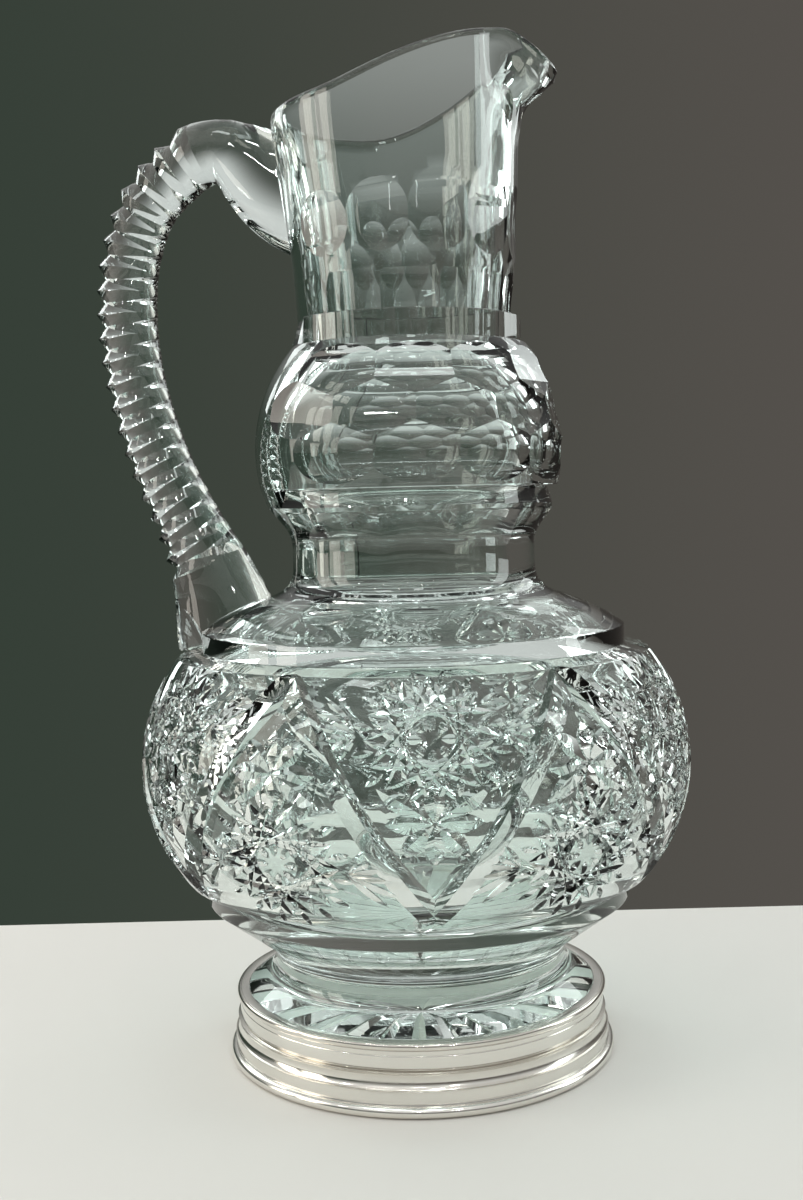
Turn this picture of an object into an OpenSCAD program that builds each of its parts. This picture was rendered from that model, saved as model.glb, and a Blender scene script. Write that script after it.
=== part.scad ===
// Cut crystal claret jug on a silver foot.
// Origin: centre of the foot where it stands. +Z is up, +X is the spout, the handle is at -X.

/* [Silver foot] */
// Outer radius of the silver collar round the glass foot
mount_r = 55; // [48:0.5:60]
// Height of the silver collar
mount_h = 20; // [17:0.5:22]
// Thickness of the spun silver
mount_wall = 1; // [0.6:0.1:1.5]
// Radius of the half-round wire at the base
base_wire_r = 1.65; // [1:0.05:2.4]
// Radius of the half-round wire at the top edge
rim_wire_r = 1.1; // [0.7:0.05:1.4]
// Width of the silver flange that the jug stands on
rest_flange = 6; // [4:0.5:10]
// Thickness of the plaster bed between silver and glass
bed_gap = 1.2; // [0.8:0.1:2]

/* [Glass foot] */
// Height of the ground underside of the glass above the table
foot_lift = 3; // [2:0.25:5]
// Radius of the stem between foot and bowl
stem_r = 43.8; // [40:0.2:46]
// Height of the narrowest part of the stem
stem_z = 29.4; // [28:0.2:32]
// Radius of the hollow curve round the stem
stem_cove = 7; // [5:0.25:8]
// Number of rays of the star ground into the underside
foot_rays = 20; // [12:2:28]
// Depth of the star's rays at their outer ends
foot_ray_depth = 2.4; // [1.2:0.1:3.2]
// Width of the star's rays at their outer ends
foot_ray_width = 8; // [5:0.5:10]

/* [Bowl] */
// Height of the lower edge of the plain band under the cutting
bowl_z = 47.5; // [45:0.5:52]
// Height of the plain band under the cutting
low_band_h = 8.2; // [6:0.2:11]
// Radius of the plain band under the cutting
low_band_r = 63.2; // [60:0.2:66]
// Height of the cut belt
belt_h = 64.6; // [60:0.2:70]
// Widest radius of the cut belt
bowl_r = 81.5; // [77:0.5:88]
// Radius of the bulging curve of the cut belt
bowl_curve = 50.3; // [46:0.5:56]
// Height of the plain band above the cutting
top_band_h = 7; // [5:0.2:9]
// Radius of the plain band above the cutting
top_band_r = 62.8; // [60:0.2:66]
// Radius of the shoulder's arch
shoulder_curve = 62; // [57:1:72]

/* [Bulb and neck] */
// Radius of the waist between shoulder and bulb
waist_r = 37; // [35.6:0.2:38.6]
// Height from the plain band's top to the middle of the bulb
bulb_rise = 53.6; // [51:0.2:57]
// Radius of the round bulb
bulb_r = 45.8; // [44:0.2:48]
// Radius of the sharp ring under the bulb
ring_r = 42.4; // [41:0.2:43.6]
// Radius of the collar on top of the bulb
collar_r = 34.4; // [33.6:0.1:36]
// Height of the collar
collar_h = 7.7; // [5:0.1:10]
// Radius of the neck just above the collar
neck_r = 31.8; // [31:0.1:32.8]
// Height of the neck from the collar to the mouth's back
neck_h = 59.6; // [54:0.4:66]

/* [Mouth] */
// Radius of the mouth
mouth_r = 36.4; // [34.5:0.1:38]
// Shift of the mouth towards the handle
mouth_shift = 1.6; // [0:0.1:3]
// Rise of the mouth towards the spout for each millimetre
mouth_slope = 0.45; // [0.3:0.01:0.6]
// Reach of the lip beyond the mouth
lip_reach = 12.2; // [8:0.2:16]
// Fall of the lip's edge below the front of the mouth
lip_fall = 12; // [6:0.5:14]
// Thickness of the glass at the mouth
mouth_wall = 3.6; // [3:0.1:4.6]

/* [Glass thickness] */
// Thickness of the bowl
bowl_wall = 8.3; // [7:0.1:10]
// Least thickness behind the plain bands
band_wall = 4.6; // [3:0.1:5]
// Thickness of the bulb
bulb_wall = 7.4; // [6:0.1:8.4]
// Thickness of the neck
neck_wall = 4.5; // [3.8:0.1:5.5]

/* [Cutting] */
// Number of V shaped bands round the bowl
v_count = 6; // [5:1:8]
// Depth of the V bands
v_depth = 2.4; // [1.2:0.1:3.2]
// Width of the V bands
v_width = 6.6; // [4:0.2:8]
// Number of points of the large stars
star_points = 16; // [8:2:20]
// Reach of the large stars' points
star_r = 16.8; // [13:0.2:18]
// Radius of the button in the middle of the large stars
button_r = 6.4; // [4:0.2:8]
// Depth of the large stars' points
star_depth = 1.1; // [0.6:0.1:1.6]
// Reach of the small stars' two long rays
long_ray = 16.6; // [12:0.2:17]
// Reach of the small stars' other rays
short_ray = 10; // [7:0.2:11]
// Depth of the small stars' rays
ray_depth = 1.5; // [0.8:0.1:2]
// Number of thumbprints in each row
print_count = 12; // [10:1:14]
// Depth of the thumbprints on the bulb
print_depth = 1.6; // [0.8:0.1:2.2]
// Turn of the whole pattern about the axis
pattern_turn = -74; // [-90:1:90]
// Half angle left plain on bulb and neck behind the handle
plain_half = 43; // [34:1:56]

/* [Handle] */
// Distance of the handle's middle line from the axis
handle_reach = 88.2; // [84:0.2:94]
// Half of the handle's thickness from front to back
grip_deep = 9.4; // [8:0.1:10.5]
// Half of the handle's width
grip_wide = 9; // [8:0.1:10.5]
// Number of notches down the back
notch_count = 20; // [14:1:24]
// Depth of the notches
notch_depth = 2.3; // [1:0.1:3]
// Half height of the pad pressed on the neck
pad_tall = 17; // [14:0.5:18.5]

/* [Hidden] */
$fn = 96;
crystal = "lightcyan";
silver = "silver";

// Heights above the table
belt_z = bowl_z + low_band_h;
belt_mid = belt_z + belt_h / 2;
belt_top = belt_z + belt_h;
shoulder_z = belt_top + top_band_h;
bulb_z = shoulder_z + bulb_rise;
bulb_cut_z = bulb_z - 12.6;
ring_z = bulb_z - 17.7;
collar_z = bulb_z + 28.7;
neck_z = collar_z + collar_h;
mouth_z = neck_z + neck_h;
join_z = mouth_z - 0.436 * neck_h;

// Silver foot
plinth_r = mount_r + 1.5;
plinth_h = 7.3;
tier_z = 12.3;
lip_r = mount_r - 2.8;
inner_r = mount_r - mount_wall;
foot_r = inner_r - bed_gap;
rim_seat_r = mount_r - 0.3;
flange_r = plinth_r - rest_flange;

// Neck where the mouth is joined on
join_r = neck_r + 0.58 * (mouth_r - neck_r);

// Inside of the glass
neck_in = neck_r - neck_wall;
join_in = join_r - neck_wall;
bulb_in = bulb_r - bulb_wall;
waist_in = waist_r - 8.2;
bowl_centre = [bowl_r - bowl_curve, belt_mid];
bowl_in_curve = bowl_curve - bowl_wall;

// Curves of the shoulder and the waist
shoulder_centre_r = top_band_r - 36.3;
shoulder_centre_z = shoulder_z
    - sqrt(pow(shoulder_curve, 2) - pow(top_band_r - shoulder_centre_r, 2));
waist_cove = 8;
ring_cove = 10;
plain_waist_r = waist_r - 1.6;
plain_bulb_r = bulb_r - 0.4;

// Point where a line from p touches the circle about c, on the side given as 1 or -1
function touch(p, c, r, side) =
    let (d = p - c, a = atan2(d[1], d[0]) + side * acos(r / norm(d)))
    c + r * [cos(a), sin(a)];

// Smooth step from 0 to 1
function ease(t) = let (u = max(0, min(1, t))) u * u * (3 - 2 * u);

// Bump of height 1 about angle 0, with its feet at w degrees either side
function bump(a, w) = abs(a) >= w ? 0 : (1 + cos(180 * a / w)) / 2;

// Half section of foot, stem and bowl
module low_outline() {
    stem_centre = [stem_r + stem_cove, stem_z];
    foot_edge = [lip_r, mount_h];
    bowl_edge = [low_band_r, bowl_z];
    difference() {
        polygon([
            [0, foot_lift],
            [foot_r, foot_lift],
            [foot_r, mount_h - mount_wall],
            [lip_r, mount_h - mount_wall],
            foot_edge,
            touch(foot_edge, stem_centre, stem_cove, -1),
            touch(bowl_edge, stem_centre, stem_cove, 1),
            bowl_edge,
            [low_band_r, belt_mid],
            [0, belt_mid]]);
        translate(stem_centre) circle(stem_cove);
    }
    intersection() {
        union() {
            translate(bowl_centre) circle(bowl_curve);
            square([bowl_centre[0], belt_top]);
        }
        translate([0, belt_z]) square([bowl_r + 1, belt_h]);
    }
    translate([0, belt_mid]) square([top_band_r, shoulder_z - belt_mid]);
}

// Half section of shoulder and waist, with the waist's radius given
module shoulder_outline(column_r) {
    centre = [shoulder_centre_r, shoulder_centre_z];
    reach = shoulder_curve + waist_cove;
    cove_r = column_r + waist_cove;
    cove = [cove_r, centre[1] + sqrt(pow(reach, 2) - pow(cove_r - centre[0], 2))];
    foot_of_cove = centre + shoulder_curve / reach * (cove - centre);
    intersection() {
        translate(centre) circle(shoulder_curve);
        translate([0, shoulder_z - 1]) square([top_band_r, shoulder_curve]);
    }
    translate([0, shoulder_z - 1]) square([column_r, cove[1] - shoulder_z + 8]);
    difference() {
        polygon([[column_r - 1, cove[1]], cove, foot_of_cove, [column_r - 1, foot_of_cove[1] - 1]]);
        translate(cove) circle(waist_cove);
    }
}

// Half section of the cut side, from shoulder to neck
module cut_outline() {
    ring_edge = [ring_r, ring_z - 1.6];
    flare = [waist_r + ring_cove, bulb_z - 30];
    shoulder_outline(waist_r);
    difference() {
        polygon([
            [0, shoulder_z],
            [waist_r, shoulder_z],
            [waist_r, flare[1]],
            touch(ring_edge, flare, ring_cove, 1),
            ring_edge,
            [ring_r, ring_z],
            [ring_r - 1.6, bulb_cut_z],
            [0, bulb_cut_z]]);
        translate(flare) circle(ring_cove);
    }
    intersection() {
        translate([0, bulb_z]) circle(bulb_r);
        translate([0, bulb_cut_z]) square([bulb_r + 1, collar_z - bulb_cut_z]);
    }
    translate([0, collar_z]) square([collar_r, collar_h]);
    neck_outline(collar_z, neck_r, join_r);
}

// Half section of the neck from height low to over above the join, with its two radii
module neck_outline(low, foot, top, over = 0) {
    lean = (top - foot) / (join_z - neck_z);
    polygon([
        [0, low],
        [foot, low],
        [foot, neck_z],
        [top + over * lean, join_z + over],
        [0, join_z + over]]);
}

// Half section of the plain side behind the handle
module plain_outline() {
    centre = [0, bulb_z - 1.4];
    neck_foot = [neck_r, neck_z];
    shoulder_outline(plain_waist_r);
    translate([0, shoulder_z]) square([plain_waist_r, bulb_z - shoulder_z]);
    intersection() {
        translate(centre) circle(plain_bulb_r);
        translate([0, shoulder_z]) square([bulb_r, neck_z - shoulder_z]);
    }
    polygon([[0, bulb_z], touch(neck_foot, centre, plain_bulb_r, -1), neck_foot, [0, neck_z]]);
    neck_outline(bulb_z, neck_r, join_r);
}

// Half section of the hollow, which stays band_wall inside the plain bands and slopes away from
// them into the bowl
module hollow_outline() {
    low_in = low_band_r - band_wall;
    top_in = top_band_r - band_wall;
    slope = 1.3;
    intersection() {
        union() {
            translate(bowl_centre) circle(bowl_in_curve);
            square([bowl_centre[0], belt_mid + bowl_in_curve]);
        }
        polygon([
            [0, belt_mid - bowl_in_curve],
            [low_in, belt_mid - bowl_in_curve],
            [low_in, belt_z],
            [low_in + slope * belt_h / 2, belt_mid],
            [top_in + slope * belt_h / 2, belt_mid],
            [top_in, belt_top],
            [top_in, belt_mid + bowl_in_curve],
            [0, belt_mid + bowl_in_curve]]);
    }
    translate([0, belt_mid]) square([waist_in, bulb_z - belt_mid]);
    intersection() {
        translate([0, bulb_z]) circle(bulb_in);
        translate([0, belt_top]) square([bulb_r, join_z - belt_top]);
    }
    neck_outline(bulb_z, neck_in, join_in, 1);
}

// Glass from the foot to the join with the mouth, before hollowing and cutting
module body_blank() {
    seam = 0.5; // the plain side reaches this many degrees into the cut side, to join it
    rotate_extrude() low_outline();
    rotate_extrude(angle = 360 - 2 * plain_half, start = 180 + plain_half) cut_outline();
    rotate_extrude(angle = 2 * (plain_half + seam), start = 180 - plain_half - seam)
        plain_outline();
}

// Mouth

mouth_sides = 72;
mouth_levels = [0, 0.25, 0.5, 0.65, 0.75, 0.81, 0.86, 0.91, 0.95, 1];
mouth_foot_z = join_z - 1.5;
lip_half = 36;
lip_top_half = 50;

// Height of the rim where it leans forward, as a function of x
function rim_rise(x) = let (u = x + 10) mouth_slope * (u + sqrt(u * u + 144)) / 2;
function rim_z_at(a) =
    mouth_z + rim_rise(mouth_r * cos(a)) - lip_fall * bump(a, lip_top_half);

// Outer radius, thickness and point of the mouth at angle a and height z. The lip bulges out
// steeply below and slopes gently inside, so its tip is thick and blunt.
function mouth_part(z) = min(1, (z - join_z) / (mouth_z - join_z));
function pull(a, z, low, high) = lip_reach * bump(a, lip_half) * ease((z - low) / (high - low));
function mouth_radius(a, z) = join_r - 0.05 + (mouth_r - join_r) * mouth_part(z)
    + pull(a, z, mouth_z - 1, mouth_z + 6.5);
function mouth_inner(a, z) = join_r - 0.05 + (mouth_r - join_r) * mouth_part(z)
    - (neck_wall - 0.2 + (mouth_wall - neck_wall + 0.2) * mouth_part(z))
    + pull(a, z, mouth_z - 5, rim_z_at(a) - mouth_wall / 2);
function mouth_point(a, r, z) = [r * cos(a) - mouth_shift * mouth_part(z), r * sin(a), z];

// Section through the wall at angle a, up the inside, over the rim and down the outside
function mouth_section(a) =
    let (top = rim_z_at(a) - mouth_wall / 2, h = top - mouth_foot_z, edge = mouth_radius(a, top))
    concat(
        [for (t = mouth_levels) let (z = mouth_foot_z + t * h)
            mouth_point(a, mouth_inner(a, z), z)],
        [for (b = [135, 90, 45])
            mouth_point(a, edge - mouth_wall / 2 * (1 - cos(b)), top + mouth_wall / 2 * sin(b))],
        [for (i = [len(mouth_levels) - 1 : -1 : 0]) let (z = mouth_foot_z + mouth_levels[i] * h)
            mouth_point(a, mouth_radius(a, z), z)]);

// Faces that join rings of n points into a tube, the points running clockwise as seen along it;
// closed joins the last ring to the first
function tube_faces(rings, n, closed) =
    [for (i = [0 : rings - (closed ? 1 : 2)], j = [0 : n - 1], half = [0, 1])
        let (k = (j + 1) % n, i2 = (i + 1) % rings)
        half == 0 ? [i * n + j, i2 * n + j, i2 * n + k] : [i * n + j, i2 * n + k, i * n + k]];

// Tube with flat ends through rings of n points
module tube(points, rings, n) {
    polyhedron(points, concat(
        [[for (j = [0 : n - 1]) j]],
        tube_faces(rings, n, false),
        [[for (j = [n - 1 : -1 : 0]) (rings - 1) * n + j]]));
}

module mouth() {
    sections = [for (i = [0 : mouth_sides - 1]) mouth_section(360 * i / mouth_sides)];
    n = len(sections[0]);
    polyhedron([for (s = sections, p = s) p], tube_faces(mouth_sides, n, true));
}

// Mouth without its hollow, to fit the handle's pad against
module mouth_blank() {
    levels = len(mouth_levels);
    points = [for (t = mouth_levels, i = [0 : mouth_sides - 1])
        let (a = 360 * i / mouth_sides,
            z = mouth_foot_z + t * (rim_z_at(a) - mouth_wall / 2 - mouth_foot_z))
        mouth_point(a, mouth_radius(a, z), z)];
    tube(points, levels, mouth_sides);
}

// Cutting

// Turn a cutter to angle a of the pattern
module at_angle(a) {
    rotate([0, 0, pattern_turn + a]) children();
}

// Hollow print left by a wheel of radius wheel, depth deep, on a surface at radius r and
// height z that faces up by tilt degrees
module thumbprint(r, z, tilt, wheel, deep, wide) {
    translate([r, 0, z]) rotate([0, -tilt, 0]) translate([wheel - deep, 0, 0])
        rotate([90, 0, 0]) cylinder(r = wheel, h = wide, center = true);
}

// Steps round the pattern that keep clear of the plain side
function steps(count, offset) =
    [for (i = [0 : count - 1])
        let (a = (i + offset) * 360 / count, b = (a + pattern_turn + 720) % 360)
        if (abs(b - 180) > plain_half + 150 / count) a];

module bulb_prints() {
    wide = 2.4 * bulb_r * sin(180 / print_count);
    for (row = [[25.5, 0], [12, 0.5], [-4, 0]])
        for (a = steps(print_count, row[1]))
            at_angle(a)
                thumbprint(bulb_r * cos(row[0]), bulb_z + bulb_r * sin(row[0]), row[0], 29,
                    print_depth, wide);
}

// Angle by which the neck's side faces down
neck_lean = atan2(join_r - neck_r, join_z - neck_z);

// Flat arches that stand on the collar, each as wide as one step
module neck_flutes() {
    wheel = 4 * neck_r;
    deep = 1.1 * neck_r * (1 - cos(180 / print_count));
    intersection() {
        union()
            for (a = steps(print_count, 0))
                at_angle(a) thumbprint(neck_r, neck_z, -neck_lean, wheel, deep, 0.56 * neck_r);
        translate([0, 0, neck_z]) cylinder(r = bulb_r, h = neck_h / 2);
    }
}

// Round prints between the arches' tops
module neck_prints() {
    height = 0.4 * neck_h;
    for (a = steps(print_count, 0.5))
        at_angle(a) thumbprint(neck_r + height * tan(neck_lean), neck_z + height, -neck_lean,
            neck_r, 0.8, 0.56 * neck_r);
}

// Groove of V section that runs from p to q and arches out between them by rise
module arched_groove(p, q, rise, deep, wide) {
    chord = q - p;
    mid = (p + q) / 2;
    along = chord / norm(chord);
    side = cross(along, [mid[0], mid[1], 0]);
    across = side / norm(side);
    out = cross(across, along);
    ring = (pow(norm(chord) / 2, 2) + rise * rise) / (2 * rise);
    clear = 4;
    flare = wide / 2 * (1 + clear / deep);
    reach = asin(norm(chord) / 2 / ring) + 4;
    centre = mid + (rise - ring) * out;
    multmatrix([
        [out[0], along[0], across[0], centre[0]],
        [out[1], along[1], across[1], centre[1]],
        [out[2], along[2], across[2], centre[2]],
        [0, 0, 0, 1]])
        rotate_extrude(angle = 2 * reach, start = -reach)
            polygon([[ring - deep, 0], [ring + clear, flare], [ring + clear, -flare]]);
}

// Point of the cut belt at angle a and height z
function on_belt(a, z) =
    let (r = bowl_centre[0] + sqrt(pow(bowl_curve, 2) - pow(z - belt_mid, 2)))
    [r * cos(a), r * sin(a), z];

// The arms of the V bands that lean one way: side is 1 or -1
module v_arms(side) {
    tip = on_belt(0, belt_z + 2.2);
    top = on_belt(side * 180 / v_count, belt_top);
    mid = (tip + top) / 2;
    for (i = [0 : v_count - 1])
        at_angle(i * 360 / v_count)
            arched_groove(tip, top, bowl_r - norm([mid[0], mid[1]]) + 0.2, v_depth, v_width);
}

// Point of the cut belt at a distance across and up from a motif's middle at angle a, height z
function from_motif(a, z, across, up) =
    let (lift = asin((z - belt_mid) / bowl_curve) + up / bowl_curve * 180 / PI,
        r = bowl_centre[0] + bowl_curve * cos(lift), turn = a + across / r * 180 / PI)
    [r * cos(turn), r * sin(turn), belt_mid + bowl_curve * sin(lift)];

// Kite shaped cut on the belt from p to q, deepest half way
module kite_cut(p, q, deep, wide) {
    mid = (p + q) / 2;
    core = [mid[0], mid[1], 0] * bowl_centre[0] / norm([mid[0], mid[1]]) + [0, 0, belt_mid];
    along = (q - p) / norm(q - p);
    side = cross(mid - core, along);
    across = side / norm(side);
    out = cross(along, across);
    rise = pow(norm(q - p), 2) / 8 / bowl_curve;
    top = 2 * rise + 0.6;
    half = wide / 2 * (deep + top - rise) / deep;
    polyhedron(
        [p + 0.12 * out, q + 0.12 * out, mid + (rise - deep) * out,
            mid + top * out + half * across, mid + top * out - half * across],
        [[0, 2, 3], [0, 4, 2], [1, 3, 2], [1, 2, 4], [0, 3, 4], [1, 4, 3]]);
}

// Ray of a star about a motif, in direction t, between two distances from its middle
module motif_ray(motif, t, from, to, deep, wide) {
    kite_cut(
        from_motif(motif[0], motif[1], from * cos(t), from * sin(t)),
        from_motif(motif[0], motif[1], to * cos(t), to * sin(t)), deep, wide);
}

// Large stars: narrow points round a plain button, one within each V and one under its arch
module hobstars() {
    for (i = [0 : v_count - 1], axis = [[0, 17.8], [180 / v_count, -14.5]])
        at_angle(axis[0] + i * 360 / v_count)
            for (k = [0 : star_points - 1])
                motif_ray([0, belt_mid + axis[1]], 90 + k * 360 / star_points, button_r, star_r,
                    star_depth, 8.4 * star_r / star_points / 2.6);
}

// Small stars: eight broad rays, the two that slant into the wide part of the field longer
module ray_stars() {
    for (i = [0 : v_count - 1], axis = [[0, -2.6, 1], [180 / v_count, 9, -1]])
        at_angle(axis[0] + i * 360 / v_count)
            for (ray = [[0, short_ray], [30, long_ray], [90, short_ray - 2], [150, long_ray],
                    [180, short_ray], [225, short_ray], [270, short_ray - 2], [315, short_ray]])
                motif_ray([0, belt_mid + axis[1]], ray[0] * axis[2], 1.3, ray[1], ray_depth, 4.2);
}

// Star ground into the underside
module foot_star() {
    reach = foot_r - 3;
    half = foot_ray_width / 2 * (1 + 0.3 / foot_ray_depth);
    for (i = [0 : foot_rays - 1])
        at_angle(-5 + i * 360 / foot_rays)
            polyhedron(
                [[3.5, 0, foot_lift - 0.05], [reach, 0, foot_lift + foot_ray_depth],
                    [reach, half, foot_lift - 0.3], [reach, -half, foot_lift - 0.3]],
                [[0, 2, 1], [0, 1, 3], [0, 3, 2], [1, 2, 3]]);
}

module vessel() {
    color(crystal, 0.6) {
        difference() {
            difference() {
                body_blank();
                rotate_extrude() hollow_outline();
                v_arms(1);
                ray_stars();
                bulb_prints();
                foot_star();
            }
            v_arms(-1);
            hobstars();
            neck_flutes();
            neck_prints();
        }
        mouth();
    }
}

// Handle

handle_sides = 16;
handle_h = mouth_z - shoulder_z;

// Stations along the middle line: distance from the axis as a share of the handle's reach, drop
// from the mouth as a share of the handle's height, half depth and half width
handle_shares = [
    [0.340, 0.153, pad_tall, grip_wide + 0.5],
    [0.408, 0.136, pad_tall - 0.2, grip_wide + 0.5],
    [0.465, 0.113, pad_tall - 1.5, grip_wide + 0.3],
    [0.522, 0.080, pad_tall - 4, grip_wide],
    [0.573, 0.053, grip_deep + 1.2, grip_wide],
    [0.629, 0.036, grip_deep - 0.5, grip_wide],
    [0.720, 0.045, grip_deep + 0.3, grip_wide],
    [0.799, 0.074, grip_deep + 0.3, grip_wide],
    [0.909, 0.137, grip_deep, grip_wide],
    [0.982, 0.244, grip_deep, grip_wide],
    [1.000, 0.374, grip_deep, grip_wide],
    [0.973, 0.508, grip_deep, grip_wide],
    [0.898, 0.655, grip_deep + 0.4, grip_wide + 0.4],
    [0.796, 0.782, grip_deep + 2, grip_wide + 1.2],
    [0.697, 0.893, grip_deep + 5, grip_wide + 2.4],
    [0.646, 0.980, grip_deep + 6.4, grip_wide + 3.4],
    [0.629, 1.044, grip_deep + 5.6, grip_wide + 3.8]];
handle_stations = [for (s = handle_shares)
    [s[0] * handle_reach, mouth_z - s[1] * handle_h, s[2], s[3]]];

// Smooth curve through four stations
function spline(p, q, r, s, t) =
    0.5 * ((2 * q) + (r - p) * t + (2 * p - 5 * q + 4 * r - s) * t * t
    + (3 * q - p - 3 * r + s) * t * t * t);
function station(i) = handle_stations[max(0, min(len(handle_stations) - 1, i))];
handle_steps = 8;
handle_line = [for (i = [0 : len(handle_stations) - 2], k = [0 : handle_steps - 1])
    spline(station(i - 1), station(i), station(i + 1), station(i + 2), k / handle_steps)];

// Distance along the line of each of its points
function runs(line, i = 0, sum = 0) = i >= len(line) ? [] :
    let (step = i == 0 ? 0 : norm([line[i][0] - line[i - 1][0], line[i][1] - line[i - 1][1]]))
    concat([sum + step], runs(line, i + 1, sum + step));
handle_runs = runs(handle_line);
handle_length = handle_runs[len(handle_runs) - 1];
function along(s, column) =
    lookup(s, [for (i = [0 : len(handle_line) - 1]) [handle_runs[i], handle_line[i][column]]]);

// Notches lie between these lengths; each has a crest, a valley and a crest
notch_start = 0.18 * handle_length;
notch_end = 0.83 * handle_length;
notch_pitch = (notch_end - notch_start) / notch_count;
handle_rings = concat(
    [for (s = [0 : 4 : notch_start - 3]) [s, 0]],
    [for (i = [0 : 2 * notch_count])
        [notch_start + i * notch_pitch / 2, i % 2 == 0 ? 0 : notch_depth]],
    [for (s = [notch_end + 6 : 6 : handle_length]) [s, 0]]);

// One ring of the handle: s is the length along it, deep the depth of the notch there. The
// rings stand upright at the pad and turn square to the handle by the end of it.
function handle_ring(s, deep) =
    let (d = 0.5, x1 = along(s - d, 0), z1 = along(s - d, 1), x2 = along(s + d, 0),
        z2 = along(s + d, 1), run = [x2 - x1, z2 - z1], square = [-run[1], run[0]] / norm(run),
        upright = 1 - ease(s / (2 * pad_tall)), mix = square * (1 - upright) + [0, upright],
        n = mix / norm(mix), x = along(s, 0), z = along(s, 1), a = along(s, 2), b = along(s, 3))
    [for (j = [0 : handle_sides - 1])
        let (t = 360 * j / handle_sides, cut = deep * pow((1 + cos(t)) / 2, 0.7),
            u = (a - cut) * cos(t), v = (b - cut) * sin(t))
        [-(x + n[0] * u), v, z + n[1] * u]];

module handle_sweep() {
    tube([for (r = handle_rings, p = handle_ring(r[0], r[1])) p], len(handle_rings), handle_sides);
}

module handle() {
    color(crystal, 0.6) difference() {
        handle_sweep();
        body_blank();
        mouth_blank();
    }
}

// Silver and plaster

module foot_mount() {
    scotia_h = tier_z - plinth_h;
    color(silver) rotate_extrude() difference() {
        polygon([
            [flange_r, 0],
            [plinth_r, 0],
            [plinth_r, plinth_h],
            [plinth_r - 0.7, plinth_h],
            [plinth_r - 0.9, tier_z],
            [mount_r - 0.4, tier_z],
            [mount_r - 0.4, tier_z + 0.5],
            [mount_r, tier_z + 0.5],
            [mount_r, mount_h - 2 * rim_wire_r],
            [rim_seat_r, mount_h - 2 * rim_wire_r],
            [rim_seat_r, mount_h],
            [lip_r, mount_h],
            [lip_r, mount_h - mount_wall],
            [inner_r, mount_h - mount_wall],
            [inner_r, plinth_h],
            [plinth_r - mount_wall, plinth_h - 1.5],
            [plinth_r - mount_wall, mount_wall],
            [flange_r, mount_wall]]);
        translate([plinth_r + 1.9, (plinth_h + tier_z) / 2]) circle(3.4);
    }
}

module rim_wire() {
    color(silver) rotate_extrude() intersection() {
        translate([rim_seat_r, mount_h - rim_wire_r]) circle(rim_wire_r);
        translate([rim_seat_r, 0]) square([10, 2 * mount_h]);
    }
}

module base_wire() {
    color(silver) rotate_extrude() intersection() {
        translate([plinth_r, base_wire_r]) circle(base_wire_r);
        translate([plinth_r, 0]) square([10, mount_h]);
    }
}

module setting_bed() {
    color("white") rotate_extrude() polygon([
        [flange_r, mount_wall],
        [plinth_r - mount_wall, mount_wall],
        [plinth_r - mount_wall, plinth_h - 1.5],
        [inner_r, plinth_h],
        [inner_r, mount_h - mount_wall],
        [foot_r, mount_h - mount_wall],
        [foot_r, foot_lift],
        [flange_r, foot_lift]]);
}

vessel();
handle();
foot_mount();
rim_wire();
base_wire();
setting_bed();
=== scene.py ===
"""Cut crystal claret jug on a silver foot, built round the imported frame.

Sizes are in millimetres until a piece is finished, then its mesh is scaled to metres.
"""

import logging
import math
from collections.abc import Callable
from dataclasses import dataclass, field
from enum import Enum

import bmesh
import bpy
from mathutils import Matrix, Vector


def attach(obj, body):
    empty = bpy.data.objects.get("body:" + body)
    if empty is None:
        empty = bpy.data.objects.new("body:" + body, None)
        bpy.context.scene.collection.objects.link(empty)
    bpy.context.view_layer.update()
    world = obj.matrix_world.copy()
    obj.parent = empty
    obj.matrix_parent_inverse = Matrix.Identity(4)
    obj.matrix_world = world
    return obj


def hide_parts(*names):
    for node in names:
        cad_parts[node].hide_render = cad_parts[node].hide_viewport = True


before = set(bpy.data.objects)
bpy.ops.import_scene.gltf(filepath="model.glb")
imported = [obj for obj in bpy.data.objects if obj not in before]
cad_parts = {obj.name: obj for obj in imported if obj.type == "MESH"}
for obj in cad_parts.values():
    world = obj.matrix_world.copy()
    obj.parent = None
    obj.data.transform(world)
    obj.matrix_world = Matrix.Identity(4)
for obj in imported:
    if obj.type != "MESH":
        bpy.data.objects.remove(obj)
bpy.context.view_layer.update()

LOG = logging.getLogger("claret_jug")
MM = 0.001

Point = tuple[float, float]
Colour = tuple[float, float, float, float]


class Slot(Enum):
    """Names of the record's material slots for the glass and the silver."""

    CRYSTAL = "crystal"
    SILVER = "silver"


class Fade(Enum):
    """Where a wheel-cut groove runs out to nothing."""

    NONE = "full depth from end to end"
    TIPS = "short run-out at both ends"
    BOTH = "deepest in the middle"
    START = "deepest at its far end"


# Outlines


def ease(t: float) -> float:
    """Smooth step from 0 to 1."""
    u = max(0.0, min(1.0, t))
    return u * u * (3.0 - 2.0 * u)


def bump(angle: float, half: float) -> float:
    """Bump of height 1 about angle 0, with its feet at half degrees either side."""
    return 0.0 if abs(angle) >= half else (1.0 + math.cos(math.pi * angle / half)) / 2.0


def touch(p: Point, c: Point, r: float, side: int) -> Point:
    """Point where a line from p touches the circle of radius r about c.

    Args:
        p: The point that the line starts from.
        c: The circle's centre.
        r: The circle's radius.
        side: 1 or -1, for either of the two lines.

    Returns:
        The point on the circle.
    """
    dx, dz = p[0] - c[0], p[1] - c[1]
    a = math.atan2(dz, dx) + side * math.acos(r / math.hypot(dx, dz))
    return c[0] + r * math.cos(a), c[1] + r * math.sin(a)


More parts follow.
